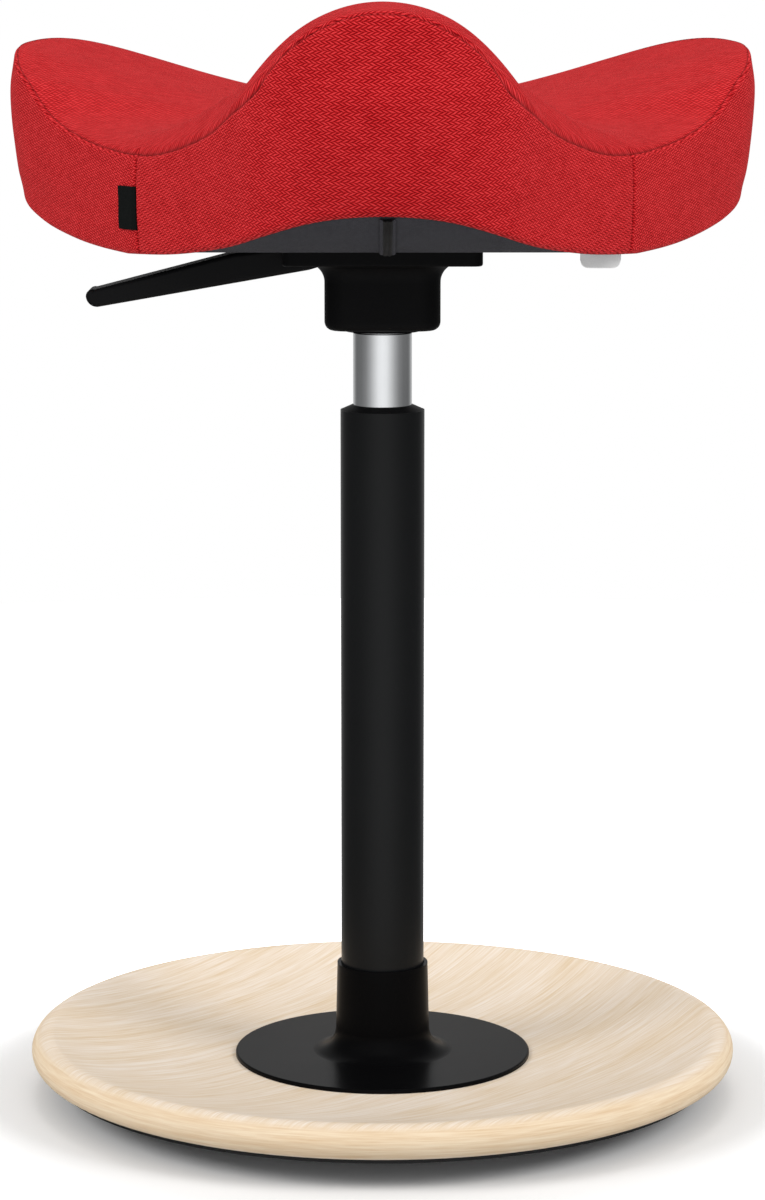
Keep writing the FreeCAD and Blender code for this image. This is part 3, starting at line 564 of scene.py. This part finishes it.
def zip_coil(name, colour):
    """Nylon zip coil: teeth 1.2 mm apart, with a painted highlight on their crowns and painted shade
    between them
    """
    material, tree, shader = new_material(name)
    marks = add_node(tree, "ShaderNodeUVMap", {"uv_map": "cloth"})
    parts = add_node(tree, "ShaderNodeSeparateXYZ", {}, {0: marks})
    angle = add_node(
        tree, MATH, {"operation": "MULTIPLY"}, {0: parts.outputs[1], 1: 2.0 * math.pi / 0.0012})
    teeth = add_node(tree, MATH, {"operation": "SINE"}, {0: angle})
    # Painted highlight and shade: the colour is scaled up by a quarter on each tooth's crown and down as
    # much between teeth
    light = add_node(tree, MATH, {"operation": "MULTIPLY_ADD"}, {0: teeth, 1: 0.25, 2: 1.0})
    tint = add_node(tree, VECTOR, {"operation": "SCALE"}, {0: linear(colour)[:3], "Scale": light})
    tree.links.new(tint.outputs[0], shader.inputs["Base Color"])
    bump = add_node(tree, "ShaderNodeBump", {}, {"Strength": 0.6, "Distance": 0.0002, "Height": teeth})
    tree.links.new(bump.outputs["Normal"], shader.inputs["Normal"])
    shader.inputs["Roughness"].default_value = 0.5
    shader.inputs["Specular IOR Level"].default_value = 0.1
    return material


def bonded_fibre(name, colour):
    """Bonded-fibre label stock: matted fibres, uneven to the eye"""
    material, tree, shader = new_material(name)
    marks = add_node(tree, "ShaderNodeUVMap", {"uv_map": "cloth"})
    sized = add_node(tree, VECTOR, {"operation": "SCALE"}, {0: marks, "Scale": 1000.0})
    mat = add_node(
        tree, NOISE, {"noise_dimensions": "2D"},
        {"Vector": sized, "Scale": 1.6, "Detail": 5.0, "Roughness": 0.7})
    base = linear(colour)
    dark = tuple(0.8 * v for v in base[:3]) + (1.0,)
    shades = add_node(tree, "ShaderNodeMix", {"data_type": "RGBA"}, {0: mat, 6: dark, 7: base})
    tree.links.new(shades.outputs[2], shader.inputs["Base Color"])
    bump = add_node(tree, "ShaderNodeBump", {}, {"Strength": 0.5, "Distance": 0.0003, "Height": mat})
    tree.links.new(bump.outputs["Normal"], shader.inputs["Normal"])
    shader.inputs["Roughness"].default_value = 0.85
    return material


def stretched_noise(tree, spot, along, across, detail, rough):
    """Noise drawn out along the grain: a streak is about along by across metres"""
    sized = add_node(
        tree, "ShaderNodeMapping", {},
        {"Vector": spot, "Scale": (1.0 / along, 1.0 / across, 1.0)})
    return add_node(
        tree, NOISE, {}, {"Vector": sized, "Scale": 1.0, "Detail": detail, "Roughness": rough})


def layered(tree, layers, start):
    """Patterns added up, each centred and times its own share"""
    tone = start
    for pattern, share in layers:
        centred = add_node(tree, MATH, {"operation": "SUBTRACT"}, {0: pattern, 1: 0.5})
        tone = add_node(tree, MATH, {"operation": "MULTIPLY_ADD"}, {0: centred, 1: share, 2: tone})
    return add_node(tree, "ShaderNodeClamp", {}, {0: tone})


def whitewashed_ash(name, pale, dark, edge):
    """Whitewashed ash veneer under matt lacquer: long open grain that bends slowly across the face,
    and an edge band whose grain runs around the disc"""
    material, tree, shader = new_material(name)
    spot = add_node(tree, "ShaderNodeTexCoord").outputs["Object"]
    # The grain's own directions: x along it, y across it, bent by the tree's growth rings
    turned = add_node(
        tree, "ShaderNodeVectorRotate", {"rotation_type": "Z_AXIS"},
        {"Vector": spot, "Angle": math.radians(-50.0)})
    parts = add_node(tree, "ShaderNodeSeparateXYZ", {}, {0: turned})
    square = add_node(tree, MATH, {"operation": "POWER"}, {0: parts.outputs[0], 1: 2.0})
    bend = add_node(
        tree, MATH, {"operation": "MULTIPLY_ADD"}, {0: square, 1: -0.3, 2: parts.outputs[1]})
    grain = add_node(tree, "ShaderNodeCombineXYZ", {}, {0: parts.outputs[0], 1: bend})
    clouds = stretched_noise(tree, grain, 0.22, 0.03, 2.0, 0.5)
    rings = stretched_noise(tree, grain, 0.14, 0.0035, 3.0, 0.6)
    streaks = stretched_noise(tree, grain, 0.03, 0.0009, 2.0, 0.6)
    # Edge band: the same grain wound around the rim
    flat = add_node(tree, "ShaderNodeSeparateXYZ", {}, {0: spot})
    around = add_node(
        tree, MATH, {"operation": "ARCTAN2"}, {0: flat.outputs[1], 1: flat.outputs[0]})
    arc = add_node(tree, MATH, {"operation": "MULTIPLY"}, {0: around, 1: 0.18})
    level = add_node(tree, VECTOR, {"operation": "MULTIPLY"}, {0: spot, 1: (1.0, 1.0, 0.0)})
    away = add_node(tree, VECTOR, {"operation": "LENGTH"}, {0: level}).outputs["Value"]
    ply = add_node(tree, MATH, {"operation": "MULTIPLY"}, {0: away, 1: 400.0})
    wound = add_node(tree, "ShaderNodeCombineXYZ", {}, {0: arc, 1: flat.outputs[2], 2: ply})
    band_rings = stretched_noise(tree, wound, 0.07, 0.0022, 3.0, 0.6)
    band_streaks = stretched_noise(tree, wound, 0.02, 0.0007, 2.0, 0.6)

    tone = layered(tree, ((clouds, 0.9), (rings, 1.5), (streaks, 1.8)), 0.45)
    face = add_node(
        tree, "ShaderNodeMix", {"data_type": "RGBA"}, {0: tone, 6: linear(pale), 7: linear(dark)})
    edge_pale = linear(edge)
    edge_dark = (0.83 * edge_pale[0], 0.72 * edge_pale[1], 0.6 * edge_pale[2], 1.0)
    band_tone = layered(tree, ((band_rings, 1.6), (band_streaks, 1.6)), 0.4)
    rim = add_node(
        tree, "ShaderNodeMix", {"data_type": "RGBA"}, {0: band_tone, 6: edge_pale, 7: edge_dark})
    on_rim = add_node(
        tree, "ShaderNodeMapRange", {"interpolation_type": "SMOOTHSTEP"},
        {"Value": away, 1: 0.1775, 2: 0.1815})
    colour = add_node(
        tree, "ShaderNodeMix", {"data_type": "RGBA"},
        {0: on_rim, 6: face.outputs[2], 7: rim.outputs[2]})
    tree.links.new(colour.outputs[2], shader.inputs["Base Color"])
    bump = add_node(tree, "ShaderNodeBump", {}, {"Strength": 0.3, "Distance": 0.0001, "Height": streaks})
    tree.links.new(bump.outputs["Normal"], shader.inputs["Normal"])
    shader.inputs["Roughness"].default_value = 0.5
    shader.inputs["Specular IOR Level"].default_value = 0.05
    return material


def grained_surface(name, colour, roughness, spread, grit, depth, metallic, specular):
    """A plain coloured solid with its grit: noise at the real grit size lifts the surface and changes
    its gloss"""
    material, tree, shader = new_material(name)
    spot = add_node(tree, "ShaderNodeTexCoord").outputs["Object"]
    sand = add_node(
        tree, NOISE, {}, {"Vector": spot, "Scale": 1.0 / grit, "Detail": 3.0, "Roughness": 0.6})
    cloud = add_node(tree, NOISE, {}, {"Vector": spot, "Scale": 22.0, "Detail": 4.0})
    base = linear(colour)
    low = tuple(0.85 * v for v in base[:3]) + (1.0,)
    high = tuple(min(1.0, 1.18 * v) for v in base[:3]) + (1.0,)
    shades = add_node(tree, "ShaderNodeMix", {"data_type": "RGBA"}, {0: cloud, 6: low, 7: high})
    tree.links.new(shades.outputs[2], shader.inputs["Base Color"])
    rough = add_node(
        tree, MATH, {"operation": "MULTIPLY_ADD"}, {0: cloud, 1: spread, 2: roughness - 0.5 * spread})
    tree.links.new(rough.outputs[0], shader.inputs["Roughness"])
    bump = add_node(tree, "ShaderNodeBump", {}, {"Strength": 0.5, "Distance": depth, "Height": sand})
    tree.links.new(bump.outputs["Normal"], shader.inputs["Normal"])
    shader.inputs["Metallic"].default_value = metallic
    shader.inputs["Specular IOR Level"].default_value = specular
    return material


def background_rays(tree):
    """The rays that show the background itself: the camera's, and those in gloss and glass"""
    ray = add_node(tree, "ShaderNodeLightPath")
    mirrored = add_node(
        tree, MATH, {"operation": "MAXIMUM"},
        {0: ray.outputs["Is Glossy Ray"], 1: ray.outputs["Is Transmission Ray"]})
    return ray.outputs["Is Camera Ray"], mirrored


def studio_flags(tree, x, y):
    """What gloss shows, by its direction: a bright front, dark flags at both sides, white behind"""
    back = add_node(tree, MATH, {"operation": "MULTIPLY"}, {0: y, 1: -1.0})
    turn = add_node(tree, MATH, {"operation": "ARCTAN2"}, {0: x, 1: back})
    size = add_node(tree, MATH, {"operation": "ABSOLUTE"}, {0: turn})
    share = add_node(tree, MATH, {"operation": "DIVIDE"}, {0: size, 1: math.pi})
    flags = add_node(tree, "ShaderNodeValToRGB", {}, {"Fac": share})
    ramp = flags.color_ramp
    ramp.elements[0].color = (1.0, 1.0, 1.0, 1.0)
    ramp.elements[1].color = (1.0, 1.0, 1.0, 1.0)
    for place, level in (
            (0.09, 0.93), (0.18, 0.68), (0.28, 0.41), (0.38, 0.24), (0.5, 0.165), (0.68, 0.15),
            (0.76, 0.28), (0.84, 0.5), (0.97, 0.5)):
        ramp.elements.new(place).color = (level, level, level, 1.0)
    return flags


def white_floor():
    """White studio paper: it takes the stool's shadow near it and is plain white further off"""
    material, tree, shader = new_material("white studio paper")
    camera, mirrored = background_rays(tree)
    spot = add_node(tree, "ShaderNodeTexCoord").outputs["Object"]
    parts = add_node(tree, "ShaderNodeSeparateXYZ", {}, {0: spot})
    away = add_node(tree, VECTOR, {"operation": "LENGTH"}, {0: spot}).outputs["Value"]
    far = add_node(
        tree, "ShaderNodeMapRange", {"interpolation_type": "SMOOTHSTEP"},
        {"Value": away, 1: 0.2, 2: 0.32})
    flags = studio_flags(tree, parts.outputs[0], parts.outputs[1])
    shader.inputs["Roughness"].default_value = 1.0
    shader.inputs["Specular IOR Level"].default_value = 0.0
    shader.inputs["Emission Color"].default_value = (1.0, 1.0, 1.0, 1.0)
    # Paper is white to the camera, dimmer as a light source, and only its glow shows in gloss
    dim = 0.6
    tone = add_node(tree, MATH, {"operation": "MULTIPLY_ADD"}, {0: camera, 1: 1.0 - dim, 2: dim})
    tone = add_node(tree, MATH, {"operation": "MULTIPLY_ADD"}, {0: mirrored, 1: -dim, 2: tone})
    grey = add_node(tree, "ShaderNodeCombineXYZ", {}, {0: tone, 1: tone, 2: tone})
    tree.links.new(grey.outputs[0], shader.inputs["Base Color"])
    glow = add_node(tree, MATH, {"operation": "MULTIPLY"}, {0: far, 1: camera})
    glow = add_node(tree, MATH, {"operation": "MULTIPLY_ADD"}, {0: flags, 1: mirrored, 2: glow})
    tree.links.new(glow.outputs[0], shader.inputs["Emission Strength"])
    return material


def white_studio():
    """The world: white where it is seen, dimmer where it lights, and flagged at the sides in gloss"""
    world = bpy.data.worlds.new("white studio")
    world.use_nodes = True
    tree = world.node_tree
    tree.nodes.clear()
    camera, mirrored = background_rays(tree)
    way = add_node(tree, "ShaderNodeTexCoord").outputs["Generated"]
    parts = add_node(tree, "ShaderNodeSeparateXYZ", {}, {0: way})
    flags = studio_flags(tree, parts.outputs[0], parts.outputs[1])
    front = add_node(
        tree, "ShaderNodeMapRange", {}, {"Value": parts.outputs[1], 1: -1.0, 2: 1.0, 3: 0.878, 4: 0.351})
    seen = add_node(tree, MATH, {"operation": "MAXIMUM"}, {0: camera, 1: mirrored})
    lit = add_node(tree, MATH, {"operation": "SUBTRACT"}, {0: 1.0, 1: seen})
    strength = add_node(tree, MATH, {"operation": "MULTIPLY_ADD"}, {0: flags, 1: mirrored, 2: camera})
    strength = add_node(tree, MATH, {"operation": "MULTIPLY_ADD"}, {0: front, 1: lit, 2: strength})
    sky = add_node(
        tree, "ShaderNodeBackground", {}, {"Color": (1.0, 1.0, 1.0, 1.0), "Strength": strength})
    add_node(tree, "ShaderNodeOutputWorld", {}, {"Surface": sky})
    return world


# Operators: one for each piece or group of like pieces

class STOOL_OT_side_panels(bpy.types.Operator):
    """Sew the front, right and left side panels around the pad"""

    bl_idname = "stool.side_panels"
    bl_label = "Side panels"

    def execute(self, context):
        sizes = context.scene.stool_cover
        colours = context.scene.stool_cover_colours
        outline = SeatOutline(sizes)
        red = woven_cloth(
            "woven red polyester", colours.red_gap, colours.red_yarn, colours.red_crown, "#FF9C94",
            row=1.5, pitch=2.8, slant=1.0, bump_depth=0.0003, fuzz=0.08)
        right, rear, left = upright_seams(sizes)
        # The front panel's rows sag to its middle, the other two panels' rise towards the front
        slope = math.radians(-11.0)
        spans = {
            "front_side_panel": (left - 2.0 * math.pi, right, 0.0, 0.73, "front_panel"),
            "right_side_panel": (right, rear, -slope, 0.0, "right_panel"),
            "left_side_panel": (rear, left, slope, 0.0, "left_panel"),
        }
        for name, (start, end, lay, sag, node) in spans.items():
            centre = outline.run(0.5 * (start + end))

            def place(across, along):
                turn = start + (end - start) * crowd_ends(across)
                spot = side_spot(sizes, outline, turn, crowd_ends(along))
                aside = min(abs(turn - start), abs(turn - end)) * math.hypot(spot.x, spot.y)
                below = outline.read(outline.seam, turn) - spot.z
                along_side = outline.run(turn)
                up = spot.z - sag * (along_side - centre) ** 2
                return spot, on_cloth(along_side, up, lay), min(aside, below)

            panel = cloth_panel(name, 260, 100, place, red)
            thicken(panel, sizes.cloth_thickness)
            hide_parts(node)
        return {"FINISHED"}


class STOOL_OT_top_panel(bpy.types.Operator):
    """Stretch the saddle panel over the pad and sew it to the side panels"""

    bl_idname = "stool.top_panel"
    bl_label = "Top panel"

    def execute(self, context):
        sizes = context.scene.stool_cover
        outline = SeatOutline(sizes)
        middle = saddle_height(sizes, 0.0, 0.0)
        # Distance along the saddle's middle line, millimetre by millimetre from ahead of the seat
        start_y, steps = -0.25, 500
        run = [0.0]
        for step in range(1, steps):
            y = start_y + step * MM
            rise = saddle_height(sizes, 0.0, y) - saddle_height(sizes, 0.0, y - MM)
            run.append(run[-1] + math.hypot(MM, rise))

        def place(across, along):
            turn = 2.0 * math.pi * across
            inward = crowd_start(along)
            rim = side_spot(sizes, outline, turn, 1.0)
            x = rim.x * (1.0 - inward)
            y = rim.y * (1.0 - inward)
            away = math.hypot(rim.x, rim.y) * inward
            face = saddle_height(sizes, x, y)
            start = rim.z - saddle_height(sizes, rim.x, rim.y)
            swell = 0.0007 * (1.0 - math.exp(-away / 0.0035))
            height = face + swell + foam_swell(Vector((x, y, middle)))
            fall = math.exp(-(away / sizes.seam_reach) ** 2)
            height = height * (1.0 - fall) + (face + start) * fall
            step = (y - start_y) / MM
            i = min(max(int(step), 0), steps - 2)
            mark = run[i] + (run[i + 1] - run[i]) * (step % 1.0)
            return Vector((x, y, height)), (x, mark), away

        red = bpy.data.materials["woven red polyester"]
        panel = cloth_panel("saddle_panel", 420, 90, place, red, weld=True)
        thicken(panel, sizes.cloth_thickness)
        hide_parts("top_panel")
        return {"FINISHED"}


class STOOL_OT_under_cover(bpy.types.Operator):
    """Close the seat below with its grey cloth"""

    bl_idname = "stool.under_cover"
    bl_label = "Under cover"

    def execute(self, context):
        sizes = context.scene.stool_cover
        colours = context.scene.stool_cover_colours
        outline = SeatOutline(sizes)
        grey = woven_cloth(
            "woven grey polyester", colours.grey_gap, colours.grey_yarn, colours.grey_crown,
            colours.grey_crown,
            row=0.8, pitch=0.9, slant=0.5, bump_depth=0.0002, fuzz=0.1)

        def place(across, along):
            turn = 2.0 * math.pi * across
            outward = 1.0 - crowd_start(1.0 - along)
            rim = side_spot(sizes, outline, turn, 0.0)
            x = rim.x * outward
            y = rim.y * outward
            away = math.hypot(rim.x, rim.y) * (1.0 - outward)
            face = underside_height(x, y)
            start = rim.z - underside_height(rim.x, rim.y)
            fall = math.exp(-(away / 0.003) ** 2)
            return Vector((x, y, face + start * fall + 0.0004 * (1.0 - fall))), (x, y), away

        cover = cloth_panel("grey_under_cover", 420, 60, place, grey, weld=True)
        thicken(cover, sizes.cloth_thickness)
        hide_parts("under_cover")
        return {"FINISHED"}


class STOOL_OT_under_zip(bpy.types.Operator):
    """Lay the closed zip, two ribs of nylon coil side by side, along the under cover"""

    bl_idname = "stool.under_zip"
    bl_label = "Zip"

    def execute(self, context):
        middle, half = 0.0024, 0.0019
        front, rear = -0.2005, -0.066
        facing_width, facing_rise = 0.002, 0.0008

        def place(across, along):
            sideways = 1.0 - 2.0 * across
            y = rear + (front - rear) * along
            x = middle - half * sideways
            rib = math.sqrt(max(0.0, 1.0 - (2.0 * abs(sideways) - 1.0) ** 2))
            drop = 0.0002 + 0.0006 * rib
            sway = 0.0002 * noise.noise(Vector((y * 60.0, 0.0, 0.0)))
            return Vector((x + sway, y, underside_height(x, y) - drop)), (x, y), 1.0

        coil = zip_coil("black nylon coil", "#0E0E0E")
        strip = cloth_panel("closed_zip", 32, 160, place, coil)
        thicken(strip, -0.0006)
        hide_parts("under_zip")
        grey = bpy.data.materials["woven grey polyester"]
        for name, side in (("left_zip_facing", -1.0), ("right_zip_facing", 1.0)):

            def facing(across, along):
                # The cover's folded edge stands a little proud beside the coil
                out = half + facing_width * (across if side > 0.0 else 1.0 - across)
                y = rear + (front - rear) * (1.0 - along)
                x = middle + side * out
                level = min(1.0, (half + 1.1 * facing_width - out) / (0.7 * facing_width))
                lift = facing_rise * math.sin(0.5 * math.pi * level)
                return Vector((x, y, underside_height(x, y) - 0.0001 - lift)), (x, y), 1.0

            fold = cloth_panel(name, 10, 120, facing, grey)
            thicken(fold, -0.0005)
        return {"FINISHED"}


class STOOL_OT_seat_pad(bpy.types.Operator):
    """Make the foam pad that fills the cover"""

    bl_idname = "stool.seat_pad"
    bl_label = "Seat pad"

    def execute(self, context):
        sizes = context.scene.stool_cover
        outline = SeatOutline(sizes)
        # The pad lies this far inside the cover; its grid's rows go to the floor, wall and saddle by share
        skin = 0.0034
        floor_share, wall_share = 0.25, 0.5
        foam = grained_surface("open cell foam", "#D8C9A2", 0.95, 0.05, 0.0008, 0.0004, 0.0, 0.1)
        form = bmesh.new()
        bmesh.ops.create_grid(form, x_segments=240, y_segments=120, size=0.5)
        for vert in form.verts:
            turn = 2.0 * math.pi * (vert.co.x + 0.5)
            share = vert.co.y + 0.5
            if share < floor_share:
                rim = side_place(sizes, turn, outline.read(outline.hem, turn) + skin, skin + sizes.hem_roll)
                outward = share / floor_share
                x, y = rim.x * outward, rim.y * outward
                vert.co = Vector((x, y, underside_height(x, y) + skin))
            elif share > floor_share + wall_share:
                rim = side_place(sizes, turn, outline.read(outline.seam, turn) - skin, skin + 0.0015)
                outward = (1.0 - share) / (1.0 - floor_share - wall_share)
                x, y = rim.x * outward, rim.y * outward
                vert.co = Vector((x, y, saddle_height(sizes, x, y) - skin))
            else:
                up = (share - floor_share) / wall_share
                foot = outline.read(outline.hem, turn) + skin + 0.002
                top = outline.read(outline.seam, turn) - skin - 0.002
                vert.co = side_place(sizes, turn, foot + (top - foot) * up, skin)
        bmesh.ops.remove_doubles(form, verts=form.verts[:], dist=1e-6)
        pad = finish_piece("seat_pad", form, foam)
        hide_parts("seat_foam")
        return {"FINISHED"}


class STOOL_OT_trim(bpy.types.Operator):
    """Sew on the black tab and the care label"""

    bl_idname = "stool.trim"
    bl_label = "Tab and label"

    def execute(self, context):
        sizes = context.scene.stool_cover
        colours = context.scene.stool_cover_colours
        outline = SeatOutline(sizes)
        black = polyester_ribbon("black polyester ribbon", colours.ribbon)
        low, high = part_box("fabric_tab")
        seam = upright_seams(sizes)[2]
        tab_rise, tab_width = 0.0014, 0.0152

        def tab_place(across, along):
            # across runs from the free edge, on the left panel, to the edge caught in the seam
            height = low[2] + (high[2] - low[2]) * along + tab_rise
            start = side_place(sizes, seam, height, 0.0)
            step = tab_width / math.hypot(start.x, start.y)
            turn = seam - step * (1.0 - across) - 0.0005
            lift = 0.0009 + 0.0005 * (1.0 - across) ** 2 + 0.0001 * math.sin(along * 7.0)
            lift += foam_swell(side_place(sizes, turn, height, 0.0))
            sunk = 0.0018 * math.exp(-((1.0 - across) / 0.07) ** 2)
            spot = side_place(sizes, turn, height, sunk - lift)
            return spot, (across * 0.015, along * 0.021), 1.0

        tab = cloth_panel("seam_tab", 24, 30, tab_place, black)
        form = bmesh.new()
        form.from_mesh(tab.data)
        bmesh.ops.recalc_face_normals(form, faces=form.faces[:])
        form.to_mesh(tab.data)
        form.free()
        thicken(tab, 0.0007)
        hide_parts("fabric_tab")

        white = bonded_fibre("bonded fibre label", colours.label)
        low_label, high_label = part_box("care_label")
        width = high_label[0] - low_label[0]
        caught, rounding = 0.004, 0.004

        def label_place(across, along):
            x = low_label[0] + width * across
            drop = high_label[2] - low_label[2] + caught
            corner = max(abs(across - 0.5) * width - (0.5 * width - rounding), 0.0)
            cut_off = rounding - math.sqrt(max(rounding ** 2 - corner ** 2, 0.0))
            height = low_label[2] + cut_off * (1.0 - along) + drop * along
            curl = 0.0016 * math.sin(across * 3.1) * (1.0 - along) - 0.001 * (1.0 - along) ** 2
            return Vector((x, low_label[1] - curl, height)), (across * width, along * drop), 1.0

        label = cloth_panel("sewn_care_label", 30, 24, label_place, white)
        thicken(label, 0.0007)
        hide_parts("care_label")
        return {"FINISHED"}


class STOOL_OT_hardware(bpy.types.Operator):
    """Finish the wood, rubber, paint, plastic and metal of the carried-over nodes"""

    bl_idname = "stool.hardware"
    bl_label = "Wood, paint and metal"

    def execute(self, context):
        colours = context.scene.stool_hardware_colours
        paint_node("base_disc", whitewashed_ash(
            "whitewashed ash plywood", colours.ash_pale, colours.ash_dark, colours.ply_edge))
        # name, colour, roughness and its spread, grit and its depth in metres, metallic, specular, nodes
        finishes = (
            ("moulded tread rubber", colours.tread, 0.75, 0.1, 0.0006, 0.0002, 0.0, 0.3,
             "base_tread"),
            ("powder coated steel", colours.paint, 0.34, 0.06, 0.0005, 0.00003, 0.0, 0.16,
             "column_tube column_end_plate"),
            ("stove enamelled flange", colours.flange, 0.3, 0.06, 0.0005, 0.00003, 0.0, 0.03,
             "base_flange"),
            ("painted aluminium casting", colours.casting, 0.55, 0.1, 0.0006, 0.00012, 0.0, 0.06,
             "seat_hub"),
            ("moulded black nylon", colours.plastic, 0.45, 0.1, 0.0004, 0.00006, 0.0, 0.08,
             "guide_bush release_lever"),
            ("chromed steel", "#E6E8EA", 0.13, 0.05, 0.0003, 0.000006, 1.0, 0.5,
             "gas_cylinder"),
            ("zinc plated steel", "#B9BDC2", 0.34, 0.1, 0.0004, 0.00002, 1.0, 0.5,
             "flange_nuts base_screws rod_washer rod_clip lever_pin hub_bolts tee_nuts"),
            ("ground steel", "#A9ABAE", 0.26, 0.08, 0.0003, 0.00001, 1.0, 0.5,
             "lower_race thrust_balls upper_race piston_rod pressure_tube release_pin"),
            ("turned aluminium", "#B4B6B9", 0.38, 0.08, 0.0004, 0.00002, 1.0, 0.5,
             "ball_cage piston rod_guide valve_body"),
            ("pressed plywood shell", "#B58E5E", 0.7, 0.1, 0.0012, 0.0001, 0.0, 0.3,
             "seat_shell"),
            ("nitrile rubber", "#1A1A1B", 0.65, 0.1, 0.0005, 0.0001, 0.0, 0.3,
             "bump_stop piston_seal rod_seal"),
        )
        for *finish, nodes in finishes:
            material = grained_surface(*finish)
            for node in nodes.split():
                paint_node(node, material)
        return {"FINISHED"}


class STOOL_OT_studio(bpy.types.Operator):
    """Set up the floor, the light and the camera"""

    bl_idname = "stool.studio"
    bl_label = "Studio"

    def execute(self, context):
        scene = context.scene
        form = bmesh.new()
        bmesh.ops.create_circle(form, cap_ends=True, segments=128, radius=1.6)
        mesh = bpy.data.meshes.new("studio_floor")
        form.to_mesh(mesh)
        form.free()
        floor = bpy.data.objects.new("studio_floor", mesh)
        scene.collection.objects.link(floor)
        floor.location = (0.0, 0.0, -0.0004)
        mesh.materials.append(white_floor())
        scene.world = white_studio()

        # place, size and power; the overhead one stands a little behind, so that the disc's shadow
        # falls forward
        lamps = {
            "overhead softbox": ((0.0, 0.6, 2.5), 1.3, 11.3),
            "front softbox": ((-0.25, -1.75, 2.4), 1.2, 0.0),
            "low front softbox": ((0.2, -2.6, 1.1), 1.2, 0.0),
            "left softbox": ((-2.0, -1.0, 1.6), 1.2, 25.1),
            "right softbox": ((2.0, -1.0, 1.6), 1.2, 27.5),
        }
        for name, (place, size, power) in lamps.items():
            light = bpy.data.lights.new(name, "AREA")
            light.shape = "DISK"
            light.size = size
            light.energy = power
            lamp = bpy.data.objects.new(name, light)
            scene.collection.objects.link(lamp)
            lamp.location = place
            aim = Vector((0.0, 0.0, 0.35)) - Vector(place)
            lamp.rotation_euler = aim.to_track_quat("-Z", "Y").to_euler()
            lamp.visible_glossy = False

        lens = bpy.data.cameras.new("catalogue camera")
        lens.lens = 112.98
        lens.sensor_width = 36.0
        lens.clip_end = 100.0
        camera = bpy.data.objects.new("catalogue camera", lens)
        scene.collection.objects.link(camera)
        camera.location = (0.0, -1.916, 0.571)
        camera.rotation_euler = (math.radians(80.74), 0.0, 0.0)
        scene.camera = camera
        scene.view_settings.view_transform = "Standard"
        return {"FINISHED"}


class STOOL_PT_panel(bpy.types.Panel):
    """Lists the stool's operators in the sidebar"""

    bl_idname = "STOOL_PT_panel"
    bl_label = "Saddle stool"
    bl_space_type = "VIEW_3D"
    bl_region_type = "UI"
    bl_category = "Stool"

    def draw(self, context):
        for operator in OPERATORS:
            self.layout.operator(operator.bl_idname)


OPERATORS = (
    STOOL_OT_studio,
    STOOL_OT_seat_pad,
    STOOL_OT_side_panels,
    STOOL_OT_top_panel,
    STOOL_OT_under_cover,
    STOOL_OT_under_zip,
    STOOL_OT_trim,
    STOOL_OT_hardware,
)
GROUPS = (StoolCoverSizes, StoolCoverColours, StoolHardwareColours)


def register():
    for group in GROUPS:
        bpy.utils.register_class(group)
    bpy.types.Scene.stool_cover = bpy.props.PointerProperty(type=StoolCoverSizes)
    bpy.types.Scene.stool_cover_colours = bpy.props.PointerProperty(type=StoolCoverColours)
    bpy.types.Scene.stool_hardware_colours = bpy.props.PointerProperty(type=StoolHardwareColours)
    for operator in OPERATORS:
        bpy.utils.register_class(operator)
    bpy.utils.register_class(STOOL_PT_panel)


def unregister():
    bpy.utils.unregister_class(STOOL_PT_panel)
    for operator in reversed(OPERATORS):
        bpy.utils.unregister_class(operator)
    del bpy.types.Scene.stool_hardware_colours
    del bpy.types.Scene.stool_cover_colours
    del bpy.types.Scene.stool_cover
    for group in reversed(GROUPS):
        bpy.utils.unregister_class(group)


def main():
    register()
    bpy.ops.stool.studio()
    bpy.ops.stool.seat_pad()
    bpy.ops.stool.side_panels()
    bpy.ops.stool.top_panel()
    bpy.ops.stool.under_cover()
    bpy.ops.stool.under_zip()
    bpy.ops.stool.trim()
    bpy.ops.stool.hardware()


if __name__ == "__main__":
    main()
